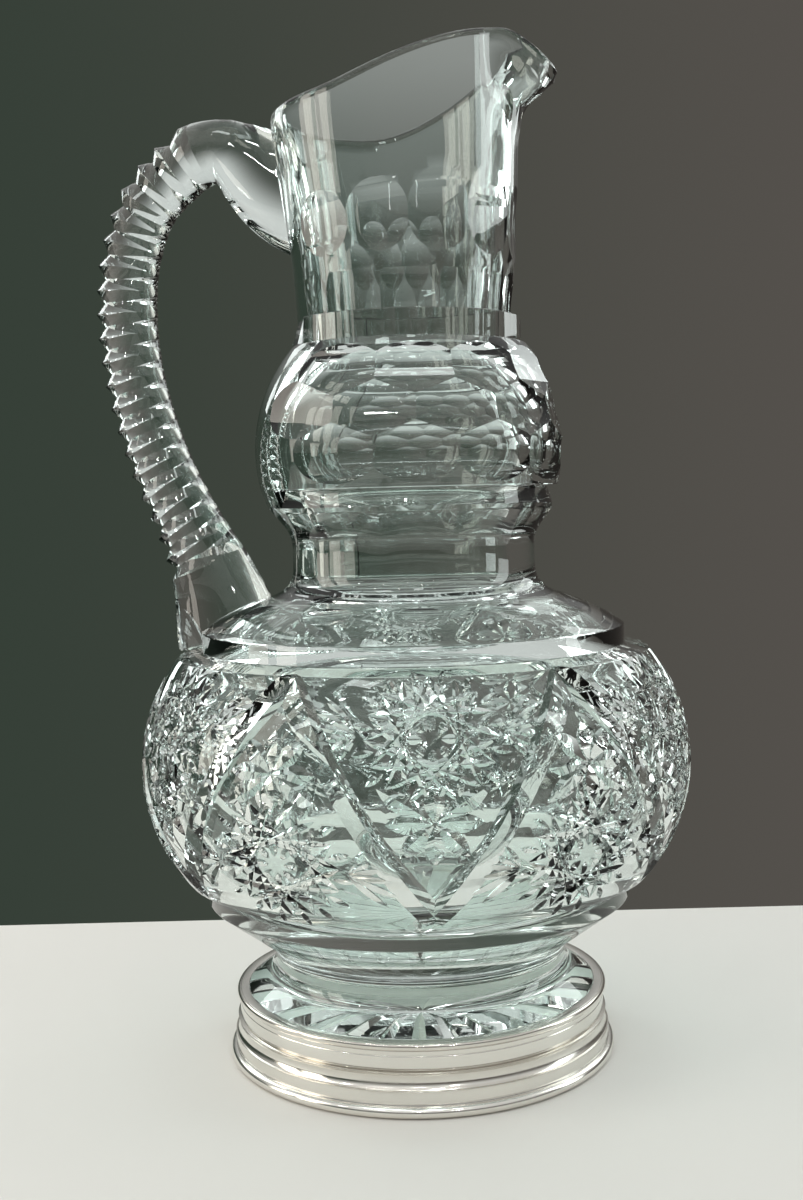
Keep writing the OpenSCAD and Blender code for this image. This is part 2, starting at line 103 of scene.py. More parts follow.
def arc(centre: Point, start: Point, end: Point, step: float) -> list[Point]:
    """Points along the shorter arc from start to end, both ends included.

    Args:
        centre: Centre of the arc.
        start: First point, which gives the radius.
        end: Direction of the last point from the centre.
        step: Greatest distance between points, in millimetres.

    Returns:
        The arc's points.
    """
    radius = math.dist(start, centre)
    a = math.atan2(start[1] - centre[1], start[0] - centre[0])
    b = math.atan2(end[1] - centre[1], end[0] - centre[0])
    turn = (b - a + math.pi) % math.tau - math.pi
    count = max(2, math.ceil(abs(turn) * radius / step))
    return [
        (
            centre[0] + radius * math.cos(a + turn * i / count),
            centre[1] + radius * math.sin(a + turn * i / count),
        )
        for i in range(count + 1)
    ]


def soften(points: list[Point], reach: float) -> list[Point]:
    """Round the sharp corners of an outline.

    Args:
        points: The outline.
        reach: Distance from a corner at which its rounding begins.

    Returns:
        The outline with each corner sharper than 25 degrees rounded.
    """
    out = [points[0]]
    for before, here, after in zip(points, points[1:], points[2:]):
        back = Vector(before) - Vector(here)
        ahead = Vector(after) - Vector(here)
        if math.pi - back.angle(ahead) < math.radians(25):
            out.append(here)
            continue
        p = Vector(here) + back * min(0.45, reach / back.length)
        q = Vector(here) + ahead * min(0.45, reach / ahead.length)
        for t in (0.0, 0.33, 0.67, 1.0):
            mixed = p * (1 - t) ** 2 + Vector(here) * 2 * t * (1 - t) + q * t * t
            out.append((mixed.x, mixed.y))
    out.append(points[-1])
    return out


# Meshes


def polar(v: bmesh.types.BMVert | bpy.types.MeshVertex) -> tuple[float, float, float]:
    """Distance from the axis, angle from +X in degrees, and height of a vertex."""
    return math.hypot(v.co.x, v.co.y), math.degrees(math.atan2(v.co.y, v.co.x)), v.co.z


def draw_in(v: bmesh.types.BMVert, share: float) -> None:
    """Move a vertex level to a share of its distance from the axis."""
    v.co.x, v.co.y = v.co.x * share, v.co.y * share


def flat_share(turn: float, step: float) -> float:
    """Share of a circle's radius that is left where flats, one each step degrees, are ground.

    Args:
        turn: Angle from the middle of a flat, in degrees.
        step: Angle from one flat to the next, in degrees.

    Returns:
        The share.
    """
    off = (turn + step / 2) % step - step / 2
    return math.cos(math.radians(step / 2)) / math.cos(math.radians(off))


def lathe(outline: list[Point], columns: int, ring: bool = False) -> bmesh.types.BMesh:
    """Turn an outline about the upright axis.

    Args:
        outline: Distance from the axis and height of each point.
        columns: Number of steps round.
        ring: True where the outline's ends meet, False where both lie on the axis.

    Returns:
        The closed mesh.
    """
    bm = bmesh.new()
    verts = [bm.verts.new((r, 0.0, z)) for r, z in outline]
    edges = [bm.edges.new(pair) for pair in zip(verts, verts[1:])]
    if ring:
        edges.append(bm.edges.new((verts[-1], verts[0])))
    bmesh.ops.spin(
        bm,
        geom=verts + edges,
        cent=(0.0, 0.0, 0.0),
        axis=(0.0, 0.0, 1.0),
        dvec=(0.0, 0.0, 0.0),
        angle=math.tau,
        steps=columns,
        use_merge=True,
        use_duplicate=False,
    )
    bmesh.ops.remove_doubles(bm, verts=bm.verts[:], dist=0.002)
    bmesh.ops.recalc_face_normals(bm, faces=bm.faces[:])
    return bm


def to_mesh(bm: bmesh.types.BMesh, name: str) -> bpy.types.Mesh:
    """Turn a bmesh into a mesh and free it.

    Args:
        bm: The bmesh.
        name: Name of the mesh.

    Returns:
        The mesh.
    """
    mesh = bpy.data.meshes.new(name)
    bm.to_mesh(mesh)
    bm.free()
    return mesh


def to_object(mesh: bpy.types.Mesh) -> bpy.types.Object:
    """Link a mesh into the scene as an object of the same name.

    Args:
        mesh: The mesh.

    Returns:
        The object.
    """
    obj = bpy.data.objects.new(mesh.name, mesh)
    bpy.context.scene.collection.objects.link(obj)
    return obj


def combine(obj: bpy.types.Object, others: list[bpy.types.Mesh], operation: str) -> None:
    """Run one boolean of an object with several closed meshes, then drop them.

    Args:
        obj: The object, whose mesh is changed.
        others: The closed meshes.
        operation: "DIFFERENCE" or "UNION".
    """
    group = bpy.data.collections.new("cutters")
    bpy.context.scene.collection.children.link(group)
    pieces = [bpy.data.objects.new(mesh.name, mesh) for mesh in others]
    for piece in pieces:
        group.objects.link(piece)
    mod = obj.modifiers.new("cut", "BOOLEAN")
    mod.operation = operation
    mod.solver = "MANIFOLD"
    mod.operand_type = "COLLECTION"
    mod.collection = group
    graph = bpy.context.evaluated_depsgraph_get()
    result = bpy.data.meshes.new_from_object(obj.evaluated_get(graph))
    obj.modifiers.clear()
    old, name = obj.data, obj.data.name
    obj.data = result
    bpy.data.meshes.remove(old)
    result.name = name
    for piece, mesh in zip(pieces, others):
        bpy.data.objects.remove(piece)
        bpy.data.meshes.remove(mesh)
    bpy.data.collections.remove(group)


def finish(
    obj: bpy.types.Object,
    material: bpy.types.Material,
    nodes: tuple[str, ...],
    sharp: float,
) -> None:
    """Bring a piece to metres, shade and dress it, and give it to the frame.

    Args:
        obj: The piece, with its mesh in millimetres.
        material: Its material.
        nodes: The CAD nodes that it stands for.
        sharp: Angle in degrees above which an edge stays sharp.
    """
    mesh = obj.data
    mesh.transform(Matrix.Scale(MM, 4))
    mesh.materials.clear()
    mesh.materials.append(material)
    for polygon in mesh.polygons:
        polygon.use_smooth = True
    mesh.set_sharp_from_angle(angle=math.radians(sharp))
    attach(obj, "root")
    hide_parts(*nodes)
    tris = sum(len(polygon.vertices) - 2 for polygon in mesh.polygons)
    LOG.info("%s: %d triangles, for %s", obj.name, tris, ", ".join(nodes))


# Cutting wheels


@dataclass(frozen=True)
class Groove:
    """One V shaped groove, cut by a wheel that follows the surface.

    Attributes:
        start: First end, on the surface.
        end: Last end, on the surface.
        crown: Point of the surface half way along.
        normal: Direction out of the surface there.
        depth: Greatest depth.
        width: Width at the greatest depth.
        fade: Where the groove runs out.
    """

    start: Vector
    end: Vector
    crown: Vector
    normal: Vector
    depth: float
    width: float
    fade: Fade

    def depth_at(self, s: float) -> float:
        """Depth at share s of the groove's length.

        Args:
            s: Share of the length.

        Returns:
            The depth in millimetres.
        """
        u = abs(2.0 * s - 1.0)
        shares = {
            Fade.NONE: 1.0,
            Fade.TIPS: 1.0 - u**6,
            Fade.BOTH: 1.0 - u**2,
            Fade.START: s,
        }
        return self.depth * shares[self.fade]

    def place(self, corner: int, s: float) -> Vector:
        """Place of a corner of the cutter.

        Args:
            corner: 0 for the groove's floor, 1 and -1 for its two sides.
            s: Share of the groove's length.

        Returns:
            The place in millimetres.
        """
        along = (self.end - self.start).normalized()
        side = along.cross(self.normal).normalized()
        out = side.cross(along)
        middle = (self.start + self.end) / 2.0
        rise = (self.crown - middle).dot(out)
        deep = self.depth_at(s)
        surface = self.start.lerp(self.end, s) + out * rise * (1.0 - (2.0 * s - 1.0) ** 2)
        if corner == 0:
            return surface - out * deep
        clear = 2.5
        flare = (deep + clear) * self.width / (2.0 * self.depth)
        return surface + out * clear + side * (corner * flare)


def prism(cuts: int) -> bpy.types.Mesh:
    """Closed three-sided prism of length 1 with cuts rings between its ends.

    Args:
        cuts: Number of rings between the ends.

    Returns:
        The prism, upright about the origin.
    """
    bm = bmesh.new()
    bmesh.ops.create_cone(
        bm, cap_ends=True, cap_tris=False, segments=3, radius1=1.0, radius2=1.0, depth=1.0
    )
    ribs = [e for e in bm.edges if abs(e.verts[0].co.z - e.verts[1].co.z) > 0.5]
    bmesh.ops.subdivide_edges(bm, edges=ribs, cuts=cuts)
    return to_mesh(bm, "prism")


def turned(
    make: Callable[[bmesh.types.BMesh], None], turns: list[float], name: str
) -> bpy.types.Mesh:
    """A cutter repeated round the axis.

    Args:
        make: Adds one cutter to a bmesh.
        turns: Angles about the axis, in degrees. The copies must not touch each other.
        name: Name of the mesh.

    Returns:
        One mesh with all the copies.
    """
    one = bmesh.new()
    make(one)
    bmesh.ops.recalc_face_normals(one, faces=one.faces[:])
    single = to_mesh(one, "single")
    bm = bmesh.new()
    for turn in turns:
        known = len(bm.verts)
        bm.from_mesh(single)
        bm.verts.ensure_lookup_table()
        bmesh.ops.rotate(
            bm,
            verts=bm.verts[known:],
            cent=(0.0, 0.0, 0.0),
            matrix=Matrix.Rotation(math.radians(turn), 3, "Z"),
        )
    bpy.data.meshes.remove(single)
    return to_mesh(bm, name)


# The glass


@dataclass
class CrystalJug:
    """Blown and cut glass body, with its mouth and its handle fused on.

    Names that end in _r are radii, in _z heights. A star is given as the height of its middle
    and its radius, a row of prints as its angle above the bulb's middle and its offset in steps.
    """

    columns: int = 192
    mount_h: float = 20.0
    lip_r: float = 52.2
    foot_r: float = 52.7
    foot_z: float = 3.03
    stem_r: float = 43.8
    stem_z: float = 29.4
    stem_cove: float = 7.0
    bowl_z: float = 47.5
    low_band_r: float = 63.2
    belt_z: float = 55.7
    belt_top: float = 120.3
    belt_mid: float = 88.0
    bowl_r: float = 81.5
    bowl_curve: float = 50.3
    bowl_wall: float = 8.3
    dome_shift: Point = (4.9, 6.8)
    top_band_r: float = 62.8
    shoulder_z: float = 127.3
    shoulder_curve: float = 62.0
    shoulder_centre: Point = (26.5, 77.2)
    waist_r: float = 37.0
    waist_cove: float = 8.0
    flare_z: float = 150.9
    ring_r: float = 42.4
    ring_z: float = 163.2
    bulb_z: float = 180.9
    bulb_r: float = 45.8
    bulb_wall: float = 7.4
    bulb_cut_z: float = 168.3
    collar_z: float = 209.6
    collar_r: float = 34.4
    neck_z: float = 217.3
    neck_r: float = 31.8
    neck_wall: float = 4.4
    mouth_z: float = 276.9
    mouth_r: float = 36.4
    mouth_wall: float = 3.6
    mouth_shift: float = 1.6
    mouth_slope: float = 0.393
    lip_reach: float = 11.4
    lip_fall: float = 8.9
    lip_half: float = 31.0
    dip_half: float = 24.0
    pulled_from: Point = (236.0, 272.0)
    rim_bend: Point = (11.6, 73.0)
    dish: tuple[float, float, float] = (3.0, 14.0, 9.0)
    dish_depth: float = 0.8
    dish_z: float = 134.3
    arm_depth: float = 2.4
    arm_width: float = 6.6
    high_star: Point = (105.8, 17.2)
    low_star: Point = (73.5, 17.6)
    under_star: Point = (85.4, 17.0)
    over_star: Point = (97.0, 16.0)
    star_points: int = 16
    star_skip: int = 6
    print_rows: tuple[Point, ...] = ((25.5, 0.0), (12.0, 0.5), (-4.0, 0.0))
    neck_lean: float = -4.6
    neck_print: float = 17.8
    round_z: float = 241.1
    plain_half: float = 43.0
    turn: float = -74.0
    sectors: int = 6
    step: float = 2.6

    def neck_at(self, z: float) -> float:
        """Outer radius of the neck at height z, before the mouth is pulled."""
        t = (z - self.neck_z) / (self.mouth_z - self.neck_z)
        return self.neck_r + (self.mouth_r - self.neck_r) * (0.45 * t + 0.55 * ease(t))

    def wall_at(self, z: float) -> float:
        """Thickness of the neck's wall at height z."""
        t = max(0.0, (z - self.neck_z) / (self.mouth_z - self.neck_z))
        return self.neck_wall + (self.mouth_wall - self.neck_wall) * t

    def outside(self) -> list[Point]:
        """Outline of the cut side, from the middle of the underside to the mouth.

        Returns:
            The outline's points.
        """
        stem = (self.stem_r + self.stem_cove, self.stem_z)
        foot_edge, bowl_edge = (self.lip_r, self.mount_h), (self.low_band_r, self.bowl_z)
        belt = (self.bowl_r - self.bowl_curve, self.belt_mid)
        half = self.belt_top - self.belt_mid
        belt_r = belt[0] + math.sqrt(self.bowl_curve**2 - half**2)
        cove = (self.waist_r + self.waist_cove, 0.0)
        reach = self.shoulder_curve + self.waist_cove
        cx, cz = self.shoulder_centre
        cove = (cove[0], cz + math.sqrt(reach**2 - (cove[0] - cx) ** 2))
        share = self.shoulder_curve / reach
        cove_foot = (cx + share * (cove[0] - cx), cz + share * (cove[1] - cz))
        flare = (self.waist_r + 10.0, self.flare_z)
        ring = (self.ring_r, self.ring_z - 1.6)
        bulb = (0.0, self.bulb_z)
        bulb_low = math.sqrt(self.bulb_r**2 - (self.bulb_cut_z - self.bulb_z) ** 2)
        bulb_high = math.sqrt(self.bulb_r**2 - (self.collar_z - self.bulb_z) ** 2)
        points = [(0.0, self.foot_z), (3.0, self.foot_z), (26.0, self.foot_z)]
        points += [(self.foot_r, self.foot_z), (self.foot_r, self.mount_h - 1.05)]
        points += [(self.lip_r - 0.05, self.mount_h - 1.05), foot_edge]
        stem_low = touch(foot_edge, stem, self.stem_cove, -1)
        stem_high = touch(bowl_edge, stem, self.stem_cove, 1)
        points += arc(stem, stem_low, (self.stem_r, self.stem_z), 1.4)
        points += arc(stem, (self.stem_r, self.stem_z), stem_high, 1.4)[1:]
        points += [bowl_edge, (self.low_band_r, self.belt_z)]
        points += arc(belt, (belt_r, self.belt_z), (belt_r, self.belt_top), self.step)
        points += [(self.top_band_r, self.belt_top + 1.5)]
        edge = (self.top_band_r, self.shoulder_z)
        points += arc(self.shoulder_centre, edge, cove_foot, self.step)
        points += arc(cove, cove_foot, (self.waist_r, cove[1]), 1.6)[1:]
        points += arc(flare, (self.waist_r, self.flare_z), touch(ring, flare, 10.0, 1), 1.6)
        points += [ring, (self.ring_r, self.ring_z), (self.ring_r - 1.6, self.bulb_cut_z)]
        points += arc(bulb, (bulb_low, self.bulb_cut_z), (bulb_high, self.collar_z), self.step)
        points += [(self.collar_r, self.collar_z), (self.collar_r, self.neck_z)]
        points += self.neck_line(self.neck_at, self.neck_z, self.mouth_z - 1.8)
        return soften(points, 0.4)

    def neck_line(self, radius: Callable[[float], float], low: float, high: float) -> list[Point]:
        """Points up the neck at even heights, for a radius that depends on the height.

        Args:
            radius: Gives the radius at a height.
            low: Lowest height.
            high: Highest height.

        Returns:
            The points, from the lowest up.
        """
        count = math.ceil((high - low) / self.step)
        heights = [low + (high - low) * i / count for i in range(count + 1)]
        return [(radius(z), z) for z in heights]

    def hollow(self, grow: float = 0.0) -> list[Point]:
        """Outline of the hollow from the mouth down to the axis.

        Args:
            grow: Distance that the hollow is made wider all round.

        Returns:
            The outline, from the mouth to the middle of the hollow's floor.
        """
        bulb = (0.0, self.bulb_z)
        bulb_in = self.bulb_r - self.bulb_wall + grow
        waist_in = self.waist_r - 8.2 + grow
        bowl = (self.bowl_r - self.bowl_curve, self.belt_mid)
        bowl_in = self.bowl_curve - self.bowl_wall + grow

        def inner(z: float) -> float:
            """Inner radius of the neck at height z."""
            return self.neck_at(z) - self.wall_at(z) + grow

        low = self.neck_z - 8.0
        neck_low = inner(low)
        high = self.bulb_z + math.sqrt(bulb_in**2 - neck_low**2)
        points = self.neck_line(inner, max(low, high + 1.0), self.mouth_z - 1.8)[::-1]
        points += arc(bulb, (neck_low, high), (bulb_in, self.bulb_z), self.step)
        low = self.bulb_z - math.sqrt(bulb_in**2 - waist_in**2)
        points += arc(bulb, (bulb_in, self.bulb_z), (waist_in, low), self.step)[1:]
        dome = (bowl[0] - self.dome_shift[0], bowl[1] + self.dome_shift[1])
        half = math.hypot(*self.dome_shift) / 2
        reach = math.sqrt(bowl_in**2 - half**2) / (2 * half)
        meet = (
            (bowl[0] + dome[0]) / 2 + self.dome_shift[1] * reach,
            (bowl[1] + dome[1]) / 2 + self.dome_shift[0] * reach,
        )
        turn_r = 4.0
        over = math.sqrt((bowl_in + turn_r) ** 2 - (waist_in + turn_r - dome[0]) ** 2)
        turn = (waist_in + turn_r, dome[1] + over)
        share = bowl_in / (bowl_in + turn_r)
        start = (dome[0] + share * (turn[0] - dome[0]), dome[1] + share * (turn[1] - dome[1]))
        points += arc(turn, (waist_in, turn[1]), start, 1.6)
        points += arc(dome, start, meet, self.step)[1:]
        points += arc(bowl, meet, (bowl[0] + bowl_in, bowl[1]), self.step)[1:]
        floor = (bowl[0], bowl[1] - bowl_in)
        points += arc(bowl, (bowl[0] + bowl_in, bowl[1]), floor, self.step)[1:]
        points += [(16.0, floor[1]), (4.0, floor[1]), (0.0, floor[1])]
        return soften(points, 1.2)

    def plain_at(self, z: float) -> float:
        """Outer radius of the uncut side behind the handle, at height z.

        Args:
            z: The height.

        Returns:
            The radius.
        """
        waist, centre, radius = 35.2, self.bulb_z - 1.4, self.bulb_r - 0.4
        sphere = math.sqrt(max(1.0, radius**2 - (z - centre) ** 2))
        if z < 150.0:
            cx, cz = self.shoulder_centre
            dome = cx + math.sqrt(max(0.0, self.shoulder_curve**2 - (z - cz) ** 2))
            cove_z = cz + math.sqrt(70.0**2 - (waist + 8.0 - cx) ** 2)
            cove = waist + 8.0 - math.sqrt(max(0.0, 64.0 - (z - cove_z) ** 2))
            return dome if z < cove_z - 7.5 else (cove if z < cove_z else waist)
        if z < 164.0:
            t = (z - 150.0) / 14.0
            return waist + (sphere - waist) * t * t * (2.2 - 1.2 * t)
        if z < 212.0:
            return sphere
        t = (z - 212.0) / 12.0
        low = math.sqrt(radius**2 - (212.0 - centre) ** 2)
        return low + (self.neck_at(z) - low) * (1.0 - (1.0 - min(1.0, t)) ** 1.6)

    def blank(self) -> bpy.types.Object:
        """The blown glass before it is cut, still with a straight neck.

        Returns:
            The glass as an object.
        """
        rim = (self.neck_at(self.mouth_z) - self.mouth_wall / 2, self.mouth_z - 1.8)
        top = (rim[0], self.mouth_z)
        outer, inner = self.outside(), self.hollow()
        outline = outer[:-1] + arc(rim, outer[-1], top, 0.8)
        outline += arc(rim, top, inner[0], 0.8)[1:-1] + inner
        bm = lathe(outline, self.columns)
        turn = Matrix.Rotation(math.radians(self.turn), 3, "Z")
        bmesh.ops.rotate(bm, verts=bm.verts[:], cent=(0.0, 0.0, 0.0), matrix=turn)
        self.cut_collar(bm)
        self.cut_waist(bm)
        for v in bm.verts:
            radius, turn, z = polar(v)
            inside = self.neck_r - 1.0 if z > 205.0 else 40.0 if 160.0 < z < 200.0 else 33.0
            inside = 36.0 if 200.0 <= z <= 205.0 else inside
            at_back = 180.0 - abs(turn) <= self.plain_half
            if at_back and 137.5 < z < 223.0 and radius > inside:
                draw_in(v, self.plain_at(z) / radius)
        bmesh.ops.remove_doubles(bm, verts=bm.verts[:], dist=0.02)
        return to_object(to_mesh(bm, "crystal_jug"))

    # Cutting

    def cut_collar(self, bm: bmesh.types.BMesh) -> None:
        """Grind twenty-four upright flats round the collar under the neck.

        Args:
            bm: The glass, not yet moved from its axis.
        """
        low, high = self.collar_z - 0.4, self.neck_z + 0.4
        for v in bm.verts:
            radius, turn, z = polar(v)
            if self.neck_r + 1.0 < radius < self.collar_r + 0.1 and low < z < high:
                draw_in(v, flat_share(turn - self.turn, 15.0) - 0.012)

    def cut_waist(self, bm: bmesh.types.BMesh) -> None:
        """Grind twelve upright flats under the ring, which run out down the waist.

        Args:
            bm: The glass, not yet moved from its axis.
        """
        for v in bm.verts:
            radius, turn, z = polar(v)
            if radius >= self.waist_r - 1.0 and self.flare_z < z < self.ring_z - 0.5:
                full = ease((z - self.flare_z) / (self.ring_z - self.flare_z))
                draw_in(v, 1.0 + (flat_share(turn - self.turn, 30.0) - 1.0) * full)

    def cut_shoulder(self, body: bpy.types.Object) -> None:
        """Grind a row of twelve shallow oval dishes round the shoulder.

        Args:
            body: The glass.
        """
        cx, cz = self.shoulder_centre
        radius = cx + math.sqrt(self.shoulder_curve**2 - (self.dish_z - cz) ** 2)
        tilt = math.atan2(self.dish_z - cz, radius - cx)

        def make(bm: bmesh.types.BMesh) -> None:
            """Add the cutter of one dish to a bmesh.

            Args:
                bm: The bmesh.
            """
            bmesh.ops.create_uvsphere(bm, u_segments=48, v_segments=32, radius=1.0)
            bmesh.ops.scale(bm, vec=self.dish, verts=bm.verts[:])
            out = self.dish[0] - self.dish_depth
            bmesh.ops.translate(bm, vec=(out, 0.0, 0.0), verts=bm.verts[:])
            lean = Matrix.Rotation(-tilt, 3, "Y")
            bmesh.ops.rotate(bm, verts=bm.verts[:], cent=(0.0, 0.0, 0.0), matrix=lean)
            bmesh.ops.translate(bm, vec=(radius, 0.0, self.dish_z), verts=bm.verts[:])

        combine(body, [turned(make, [a], "dish") for a in self.steps(0.0, 2.0)], "DIFFERENCE")

    def on_bowl(self, azimuth: float, height: float, across: float, up: float) -> Vector:
        """Point of the belt, from a motif's middle.

        Args:
            azimuth: Angle of the motif's middle in the pattern, in degrees.
            height: Height of the motif's middle.
            across: Distance to the side, in millimetres.
            up: Distance up the curve of the bowl, in millimetres.

        Returns:
            The point.
        """
        a = math.asin((height - self.belt_mid) / self.bowl_curve) + up / self.bowl_curve
        r = self.bowl_r - self.bowl_curve + self.bowl_curve * math.cos(a)
        turn = math.radians(azimuth) + across / r
        z = self.belt_mid + self.bowl_curve * math.sin(a)
        return Vector((r * math.cos(turn), r * math.sin(turn), z))

    def off_bowl(self, point: Vector) -> Vector:
        """Direction straight out of the belt at one of its points.

        Args:
            point: The point.

        Returns:
            The direction, of length 1.
        """
        flat = Vector((point.x, point.y, 0.0))
        core = flat.normalized() * (self.bowl_r - self.bowl_curve)
        return (point - core - Vector((0.0, 0.0, self.belt_mid))).normalized()

    def belt_groove(
        self, motif: Point, p: Point, q: Point, depth: float, width: float, fade: Fade
    ) -> Groove:
        """Groove on the belt between two points given from a motif's middle.

        Args:
            motif: Angle and height of the motif's middle.
            p: Distance across and up of one end.
            q: Distance across and up of the other end.
            depth: Greatest depth.
            width: Width there.
            fade: Where it runs out.

        Returns:
            The groove.
        """
        crown = self.on_bowl(*motif, (p[0] + q[0]) / 2, (p[1] + q[1]) / 2)
        return Groove(
            self.on_bowl(*motif, *p),
            self.on_bowl(*motif, *q),
            crown,
            self.off_bowl(crown),
            depth,
            width,
            fade,
        )

    def spoke(
        self, motif: Point, hub: Point, angle: float, span: Point, depth: float, width: float
    ) -> Groove:
        """Cut that points away from a hub, between two distances from it.

        Args:
            motif: Angle and height of the motif's middle.
            hub: Distance across and up of the hub from that middle.
            angle: Direction of the cut in degrees, from straight across.
            span: The two distances.
            depth: Greatest depth.
            width: Width there.

        Returns:
            The groove.
        """
        a = math.radians(angle)
        p = (hub[0] + span[0] * math.cos(a), hub[1] + span[0] * math.sin(a))
        q = (hub[0] + span[1] * math.cos(a), hub[1] + span[1] * math.sin(a))
        return self.belt_groove(motif, p, q, depth, width, Fade.BOTH)

    def hobstar(self, motif: Point, radius: float) -> list[Groove]:
        """Star of long crossing cuts round a faceted button, with a ray outside each notch.

        Args:
            motif: Angle and height of the star's middle.
            radius: Radius to the star's points.

        Returns:
            The star's grooves.
        """
        cuts = []
        points = self.star_points
        for k in range(points):
            a, b = math.tau * k / points, math.tau * (k + self.star_skip) / points
            p = (radius * math.sin(a), -radius * math.cos(a))
            q = (radius * math.sin(b), -radius * math.cos(b))
            cuts.append(self.belt_groove(motif, p, q, 1.3, 2.3, Fade.TIPS))
            outside = 360.0 / points * (k + 0.5)
            span = (radius * 0.86, radius * 1.2)
            cuts.append(self.spoke(motif, (0.0, 0.0), outside, span, 0.8, 2.0))
        for k in range(8):
            cuts.append(self.spoke(motif, (0.0, 0.0), 45.0 * k, (2.2, 7.0), 0.6, 2.6))
        return cuts

    def fans(self, motif: Point, hub: Point, flip: int) -> list[Groove]:
        """Two fans of fine cuts that fill the field on both sides of a star.

        Args:
            motif: Angle and height of the star's middle.
            hub: Distance across and up of the right fan's hub.
            flip: 1 where the long cuts slant up, -1 where they slant down.

        Returns:
            The grooves of both fans.
        """
        rays = {-50: 9.5, -30: 9.0, -10: 10.0, 10: 12.0, 30: 15.0, 50: 13.0}
        cuts = []
        for angle, length in rays.items():
            for side, turn in ((1.0, angle * flip), (-1.0, 180 - angle * flip)):
                place = (hub[0] * side, hub[1])
                cuts.append(self.spoke(motif, place, turn, (0.6, length), 1.0, 2.3))
        return cuts

    def ray_star(self, motif: Point, long: float, flip: int) -> list[Groove]:
        """Star of eight single cuts whose upper or lower slanting rays are long.

        Args:
            motif: Angle and height of the star's middle.
            long: Length of the two long rays.
            flip: 1 where they slant up, -1 where they slant down.

        Returns:
            The star's grooves.
        """
        rays = {0: 12.5, 90: 10.5, 180: 12.5, 270: 11.0}
        rays |= {32: long, 148: long, 225: 12.5, 315: 12.5}
        return [
            self.spoke(motif, (0.0, 0.0), angle * flip, (0.4, length), 2.0, 5.4)
            for angle, length in rays.items()
        ]

    def belt_cuts(self) -> list[Groove]:
        """Cuts of one sector of the belt.

        Returns:
            The grooves.
        """
        step = 180.0 / self.sectors
        cuts = []
        for side in (-1.0, 1.0):
            tip = self.on_bowl(0.0, self.belt_z + 2.2, 0.0, 0.0)
            top = self.on_bowl(side * step, self.belt_top, 0.0, 0.0)
            crown = self.on_bowl(side * step / 2, self.belt_mid + 1.0, 0.0, 0.0)
            out = self.off_bowl(crown)
            cuts.append(Groove(tip, top, crown, out, self.arm_depth, self.arm_width, Fade.NONE))
        high, low = (0.0, self.high_star[0]), (step, self.low_star[0])
        cuts += self.hobstar(high, self.high_star[1]) + self.fans(high, (18.5, 1.5), 1)
        cuts += self.hobstar(low, self.low_star[1]) + self.fans(low, (19.0, -1.5), -1)
        cuts += self.ray_star((0.0, self.under_star[0]), self.under_star[1], 1)
        cuts += self.ray_star((step, self.over_star[0]), self.over_star[1], -1)
        return cuts

    def cutter(self, groove: Groove, block: bpy.types.Mesh) -> Callable[[bmesh.types.BMesh], None]:
        """A function that adds a groove's cutter to a bmesh.

        Args:
            groove: The groove.
            block: The prism that the cutter is shaped from.

        Returns:
            The function.
        """

        def make(bm: bmesh.types.BMesh) -> None:
            """Add the groove's cutter to a bmesh.

            Args:
                bm: The bmesh.
            """
            bm.from_mesh(block)
            for v in bm.verts:
                corner = round(math.atan2(v.co.y, v.co.x) / (math.tau / 3))
                v.co = groove.place(corner, v.co.z + 0.5)

        return make

    def cut_belt(self, body: bpy.types.Object) -> None:
        """Cut the whole belt.

        Args:
            body: The glass.
        """
        block = prism(11)
        turns = [self.turn + 360.0 / self.sectors * k for k in range(self.sectors)]
        cutters = [
            turned(self.cutter(groove, block), turns, f"cut_{i}")
            for i, groove in enumerate(self.belt_cuts())
        ]
        combine(body, cutters, "DIFFERENCE")
        bpy.data.meshes.remove(block)

    def cut_foot(self, body: bpy.types.Object) -> None:
        """Grind the star of twenty rays into the underside.

        Args:
            body: The glass.
        """
        block = prism(3)
        down = Vector((0.0, 0.0, -1.0))
        start, end = Vector((2.5, 0.0, self.foot_z)), Vector((49.8, 0.0, self.foot_z))
        ray = Groove(start, end, (start + end) / 2, down, 2.4, 7.6, Fade.START)
        cutters = [
            turned(self.cutter(ray, block), [self.turn - 5 + 18.0 * k for k in ks], "ray")
            for ks in (range(0, 20, 2), range(1, 20, 2))
        ]
        combine(body, cutters, "DIFFERENCE")
        bpy.data.meshes.remove(block)

    def steps(self, offset: float, spare: float) -> list[float]:
        """Angles of the twelve steps round that keep clear of the plain side.

        Args:
            offset: Share of a step by which all are turned.
            spare: Least angle to the plain side, in degrees.

        Returns:
            The angles in degrees.
        """
        angles = [self.turn + (i + offset) * 30.0 for i in range(12)]
        return [a for a in angles if abs(a % 360.0 - 180.0) > self.plain_half + spare]

    def wheel(
        self,
        place: Point,
        tilt: float,
        radius: float,
        depth: float,
        wide: float,
        floor: float | None,
    ) -> Callable[[bmesh.types.BMesh], None]:
        """A function that adds a wheel with a level axis, which leaves a hollow print.

        Args:
            place: Distance from the axis and height of the print's middle.
            tilt: Angle in degrees by which the surface faces up there.
            radius: The wheel's radius.
            depth: Depth of the print.
            wide: Width of the wheel.
            floor: Height below which the wheel doesn't cut, or None.

        Returns:
            The function.
        """

